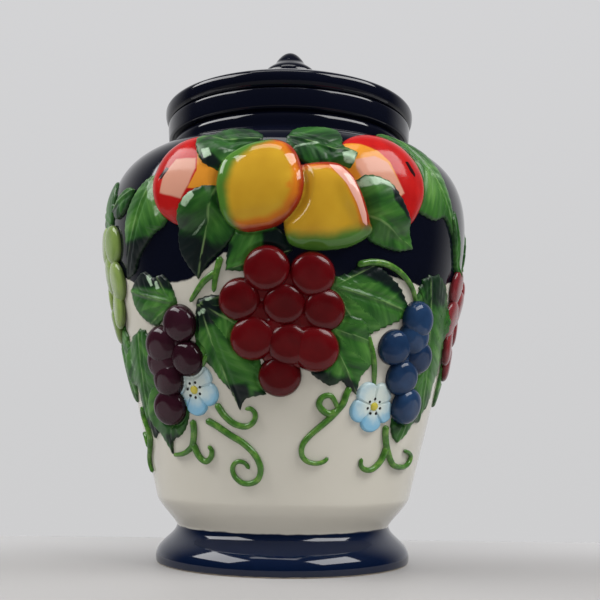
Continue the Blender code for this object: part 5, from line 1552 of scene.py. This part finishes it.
def make_grapes(points, middle, glaze, radius, lift, sink, segments, seed):
    """Grapes or dots at points across and along the wall, each with the height it rests on."""
    return run_tree(grape_bunch, plain_mesh("points", points), Wall_outline=wall_template, Azimuth=middle,
                    Climb=0.0, Turn=0.0, Glaze=glaze, Grape_radius=radius, Lift=lift, Sink=sink,
                    Segments=segments, Seed=seed)


def wall_points(places, middle, lifts):
    """Points across the wall from a middle azimuth, and along it from its waist."""
    return [(*across_and_up(place, middle), lift) for place, lift in zip(places, lifts)]


def hidden_grapes(points, radius):
    """Places for small grapes behind, in the middle of every three that lie close together."""
    flat = np.array(points)
    near = [trio for trio in combinations(range(len(points)), 3)
            if all(np.hypot(*(flat[a] - flat[b])[:2]) < CLOSE * radius for a, b in combinations(trio, 2))]
    return [flat[list(trio)].mean(axis=0) - (0.0, 0.0, SMALL_BACK) for trio in near]


def make_bunch(bunch, number):
    """One bunch, with small hidden grapes that fill its gaps."""
    forms = [rested.form for rested in bunch]
    name, middle = forms[0].name, forms[0].azimuth
    radius = float(np.hypot(*forms[0].line[0]))
    lift = SIDE_GRAPE_LIFT if name in ("grapes_green", "grapes_side_red") else GRAPE_LIFT
    bases = [float(rested.support(form.azimuth, form.climb)) + GRAPE_BASE
             for rested, form in zip(bunch, forms)]
    points = wall_points([(form.azimuth, form.climb) for form in forms], middle, bases)
    glaze = grape_materials[name]
    front = make_grapes(points, middle, glaze, radius, lift, GRAPE_SINK, GRAPE_SEGMENTS, number)
    behind = make_grapes(hidden_grapes(points, radius), middle, glaze, SMALL_SIZE * radius, SMALL_LIFT * lift,
                         SMALL_SINK, SMALL_SEGMENTS, number + SMALL_SEED)
    return joined(name, [front, behind])


# %% Press every layer
KINDS = {
    "leaf": (leaf_material, leaf_marks, 20),
    "flower": (petal_material, petal_marks, 20),
    "apple": (apple_material, fruit_marks, 30),
    "peach": (peach_material, fruit_marks, 30),
}
made = {}
for number, layer in enumerate(rested_layers):
    name = layer[0].form.name
    kind = name.split("_")[0]
    if kind == "grapes":
        made[name] = make_bunch(layer, number)
    else:
        above = [rested for later in rested_layers[number + 1:] for rested in later]
        made[name] = pressed(layer[0], above, *KINDS[kind])
print("pressed:", len(made), "pieces,", sum(len(mesh.polygons) for mesh in made.values()), "faces")

# %% [markdown]
# ## Blossom hearts
# The yellow heart is one grape of the same tree, and the seven black dots are smaller ones on a ring.
# They belong to the blossom, so they are joined to its petals as one piece with three glazes.

# %% Hearts and dots
DOTS = 7
DOT_RING = 0.0036
HEART_BASE, DOT_BASE = 0.0012, 0.0013
HEART = {"radius": 0.0021, "lift": 0.0011, "sink": 0.0012, "segments": 20, "seed": 1}
DOT = {"radius": 0.00075, "lift": 0.00045, "sink": 0.0005, "segments": 12, "seed": 2}


def with_heart(form, first):
    """A blossom's petals, its heart and its ring of dots; first is the angle of the first dot."""
    radius = float(radius_at(form.climb))
    ring = []
    for i in range(DOTS):
        angle = radians(first) + tau * i / DOTS
        ring.append((form.azimuth + np.degrees(DOT_RING * cos(angle) / radius),
                     form.climb + DOT_RING * sin(angle) / WALL_LENGTH))
    middle = wall_points([(form.azimuth, form.climb)], form.azimuth, [HEART_BASE])
    heart = make_grapes(middle, form.azimuth, heart_material, **HEART)
    dots = make_grapes(wall_points(ring, form.azimuth, [DOT_BASE] * DOTS), form.azimuth, dot_material, **DOT)
    return joined(form.name, [made[form.name], heart, dots])


for name, first in (("flower_left", 20.0), ("flower_right", 40.0)):
    made[name] = with_heart(layers[LAYER_OF[name]][0], first)
for node, mesh in made.items():
    finish_piece(mesh, node)
print("relief pieces in place:", len(made))

# %% [markdown]
# ## Vines
# The routes are lists of places on the wall, one list for each branch. A vine lies partly in the clay,
# and where it goes under a leaf it is lowered, so that its end is hidden and doesn't lift the leaf.

# %% Vine routes
VINES = {
    "tendril_hook": [[(-23.5, 0.292), (-21.0, 0.268), (-17.5, 0.25), (-13.5, 0.244), (-10.7, 0.253),
        (-9.9, 0.269), (-11.3, 0.281), (-13.4, 0.28)]],
    "tendril_scroll": [[(-28.2, 0.257), (-24.4, 0.246), (-19.5, 0.227), (-14.5, 0.209), (-10.6, 0.186),
        (-8.6, 0.16), (-9.3, 0.137), (-12.0, 0.126), (-15.7, 0.126), (-18.6, 0.139), (-19.3, 0.157),
        (-17.4, 0.17), (-14.4, 0.168), (-12.8, 0.155)]],
    "tendril_fork_left": [[(-33.9, 0.258), (-33.9, 0.235), (-35.3, 0.206), (-37.6, 0.193), (-41.3, 0.184),
        (-46.5, 0.181)],
                          [(-35.1, 0.208), (-33.2, 0.181), (-30.4, 0.169), (-27.9, 0.178), (-27.2, 0.193),
                              (-28.6, 0.203)]],
    "tendril_loop": [[(22.0, 0.33), (20.5, 0.314), (19.7, 0.295), (17.7, 0.279), (15.7, 0.265),
        (12.3, 0.246), (8.5, 0.225), (6.4, 0.206), (6.4, 0.186), (8.5, 0.173), (11.8, 0.169), (14.6, 0.173),
        (16.2, 0.182)],
                     [(17.9, 0.28), (15.2, 0.273), (12.7, 0.28), (11.3, 0.293), (12.3, 0.307),
                         (14.7, 0.311), (16.4, 0.302), (17.9, 0.284)]],
    "tendril_fork_right": [[(38.6, 0.252), (39.5, 0.227), (41.6, 0.2), (46.0, 0.169), (50.9, 0.16),
        (55.9, 0.161), (59.1, 0.171), (59.3, 0.184), (56.5, 0.192), (52.6, 0.196)],
                           [(41.1, 0.206), (39.4, 0.176), (35.8, 0.157), (32.1, 0.156), (29.9, 0.166),
                               (29.9, 0.181)]],
    "tendril_edge_left": [[(-64.0, 0.29), (-65.2, 0.272), (-64.6, 0.255), (-63.4, 0.238), (-63.4, 0.216),
        (-66.5, 0.193), (-71.0, 0.172), (-73.0, 0.156), (-71.0, 0.137)],
                          [(-66.2, 0.195), (-67.5, 0.208), (-68.7, 0.222), (-71.5, 0.229)]],
    "tendril_back_left": [[(-170.0, 0.33), (-163.0, 0.29), (-155.0, 0.27), (-148.0, 0.285), (-147.0, 0.31),
        (-151.5, 0.318)]],
    "tendril_back_right": [[(168.0, 0.33), (162.0, 0.29), (154.0, 0.27), (147.5, 0.285), (147.0, 0.31),
        (151.5, 0.318)]],
    "stalk_grape_left": [[(-18.6, 0.592), (-20.3, 0.556), (-21.4, 0.52)],
                         [(-20.1, 0.562), (-24.6, 0.541), (-29.5, 0.503)]],
    "stalk_blue": [[(20.0, 0.58), (24.2, 0.588), (29.5, 0.587), (35.1, 0.572), (40.0, 0.546),
        (43.2, 0.512)]],
    "stalk_flower_right": [[(25.7, 0.44), (29.1, 0.385), (31.2, 0.33)]],
}
STALK_OVER_FLOWER_LEFT = [[(-24.5, 0.396), (-27.4, 0.374), (-30.0, 0.35)]]

# %% Lay the vines
VINE_RADIUS = 0.0016
STALK_RADIUS = 0.0015
VINE_OUT, VINE_UNDER = 0.6, 1.15
COVERED = 0.0002


def vine_mesh(routes, radius):
    """Lay the branches of one vine."""
    points, edges = [], []
    middle = routes[0][0][0]
    for route in routes:
        azimuths, climbs = np.array(route).T
        top = relief_at(azimuths, climbs)
        out = VINE_OUT * radius
        lifts = np.where(top > COVERED, np.minimum(out, top - VINE_UNDER * radius), out)
        edges += [(len(points) + i, len(points) + i + 1) for i in range(len(route) - 1)]
        points += wall_points(route, middle, lifts)
    return run_tree(trailing, plain_mesh("route", points, edges), Wall_outline=wall_template, Azimuth=middle,
                    Climb=0.0, Turn=0.0, Glaze=vine_material, Radius=radius, Tip_share=0.6, Spacing=0.0008)


for node, routes in VINES.items():
    finish_piece(vine_mesh(routes, VINE_RADIUS), node)
extra = in_scene("stalk_over_flower_left", vine_mesh(STALK_OVER_FLOWER_LEFT, STALK_RADIUS))
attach(extra, "jar")
bpy.data.objects.remove(wall_template)
print("vines:", len(VINES) + 1)

# %% [markdown]
# ## The table and the room
# The jar stands on a plain pale table that ends a little behind it. The backdrop is pale, and the camera
# sees it so from every side. The room in front of the jar is dark, and the glaze mirrors it: that is why
# it looks deep in its upper half and milky below, where it mirrors the table. The world gives both, the
# room from its direction alone and the backdrop to the camera's own rays.

# %% Table and world
TABLE = ((-0.7, -0.19), (0.7, 0.095))
TABLE_THICKNESS = 0.02
# Directions in the room, from -1 to 1: how far back the backdrop starts and is full, and how far down the
# dim floor does.
BACKDROP = (0.15, 0.85)
DIM_FLOOR = (-0.19, -0.21)


def stage_table():
    """A pale matt table top, painted darker towards its front as painted shade."""
    (left, front), (right, back) = TABLE
    corners = [(left, front), (right, front), (right, back), (left, back)]
    table = plain_mesh("table", [(x, y, z) for z in (0.0, -TABLE_THICKNESS) for x, y in corners],
                       faces=[(0, 1, 2, 3), (7, 6, 5, 4), (0, 4, 5, 1), (1, 5, 6, 2), (2, 6, 7, 3),
                              (3, 7, 4, 0)])
    material, tree, here = new_glaze("table paint")
    shader = tree.nodes["Principled BSDF"]
    # Painted shade: the table darkens towards its front, where less lamp light falls.
    paint = blend(tree, soft_step(tree, apart(tree, here)[1], -0.05, 0.09), seen_as(168, 166, 165),
                  seen_as(210, 209, 209))
    tree.links.new(paint, shader.inputs["Base Color"])
    shader.inputs["Roughness"].default_value = 0.55
    table.materials.append(material)
    piece = in_scene("table", table)


def room_light():
    """Pale behind the jar and for the camera, dark in front, with a dim floor below the table."""
    world = bpy.data.worlds.new("room")
    world.use_nodes = True
    tree = world.node_tree
    _, depth, height = apart(tree, add(tree, "ShaderNodeTexCoord").outputs["Generated"])
    camera = add(tree, "ShaderNodeLightPath").outputs["Is Camera Ray"]
    behind = maths(tree, "MAXIMUM", soft_step(tree, depth, *BACKDROP), camera)
    backdrop = blend(tree, soft_step(tree, height, -0.2, 0.9), seen_as(206, 206, 207), seen_as(214, 214, 216))
    front = blend(tree, soft_step(tree, height, 0.1, 0.9), seen_as(40, 40, 41), seen_as(76, 76, 80))
    front = blend(tree, soft_step(tree, height, *DIM_FLOOR), front, seen_as(116, 113, 110))
    background = tree.nodes["Background"].inputs
    tree.links.new(blend(tree, behind, front, backdrop), background["Color"])
    background["Strength"].default_value = 1.0
    bpy.context.scene.world = world


stage_table()
room_light()
print("world:", bpy.context.scene.world.name)

# %% [markdown]
# ## Lamps
# Two wide softboxes stand to the left and right, high up and a little in front, and a soft panel hangs
# over the jar. Their mirror images are the pale streaks on the collar, the foot and the tops of the
# fruit. The glaze doesn't mirror the other three: a spill lamp near each softbox, which softens the
# shadows, and a low fill in front, which opens up the underside of the belly.

# %% Lamps
AIM = Vector((0.0, 0.0, 0.14))
LAMPS = [
    # name, azimuth, elevation, distance, width, height, watts, mirrored
    ("left softbox", -74.0, 42.0, 1.1, 0.86, 0.52, 9.0, True),
    ("right softbox", 59.0, 42.0, 1.1, 0.80, 0.52, 9.0, True),
    ("left spill", -74.0, 38.0, 1.1, 0.90, 0.90, 3.2, False),
    ("right spill", 59.0, 38.0, 1.1, 0.90, 0.90, 4.2, False),
    ("overhead panel", -15.0, 72.0, 1.0, 0.60, 0.30, 1.6, True),
    ("front fill", 0.0, -7.0, 1.2, 1.3, 0.3, 4.6, False),
]


def softbox(name, azimuth, elevation, distance, width, height, watts, mirrored):
    """A rectangular lamp that faces the jar, and may be kept out of its reflections."""
    data = bpy.data.lights.new(name, "AREA")
    data.shape = "RECTANGLE"
    data.size = width
    data.size_y = height
    data.energy = watts
    lamp = in_scene(name, data)
    a, e = radians(azimuth), radians(elevation)
    lamp.location = AIM + distance * Vector((cos(e) * sin(a), -cos(e) * cos(a), sin(e)))
    lamp.rotation_euler = (AIM - lamp.location).to_track_quat("-Z", "Y").to_euler()
    lamp.visible_glossy = mirrored


for lamp in LAMPS:
    softbox(*lamp)
print("lamps:", len(LAMPS))

# %% [markdown]
# ## Camera
# The camera stands low in front and looks a little up, as the photographer did. Its place and angles
# were fitted to the turned outline of the jar, and the roll is under one degree.

# %% Camera
def look_from(place, pitch, heading, roll, lens):
    """A camera from its angles in degrees: up, towards +X and clockwise."""
    p, h, r = radians(pitch), radians(-heading), radians(roll)
    across = Vector((cos(h), sin(h), 0.0))
    ahead = Vector((-sin(h), cos(h), 0.0))
    forward = cos(p) * ahead + sin(p) * Vector((0.0, 0.0, 1.0))
    upward = cos(p) * Vector((0.0, 0.0, 1.0)) - sin(p) * ahead
    right = cos(r) * across + sin(r) * upward
    top = cos(r) * upward - sin(r) * across
    data = bpy.data.cameras.new("camera")
    data.lens = lens
    data.sensor_width = 36.0
    camera = in_scene("camera", data)
    camera.matrix_world = Matrix.Translation(place) @ Matrix([right, top, -forward]).transposed().to_4x4()
    bpy.context.scene.camera = camera


look_from(place=(0.0, -0.4878, 0.064), pitch=8.61, heading=0.87, roll=0.77, lens=54.0)
bpy.context.scene.view_settings.view_transform = "Standard"
print("camera lens:", bpy.context.scene.camera.data.lens, "mm")
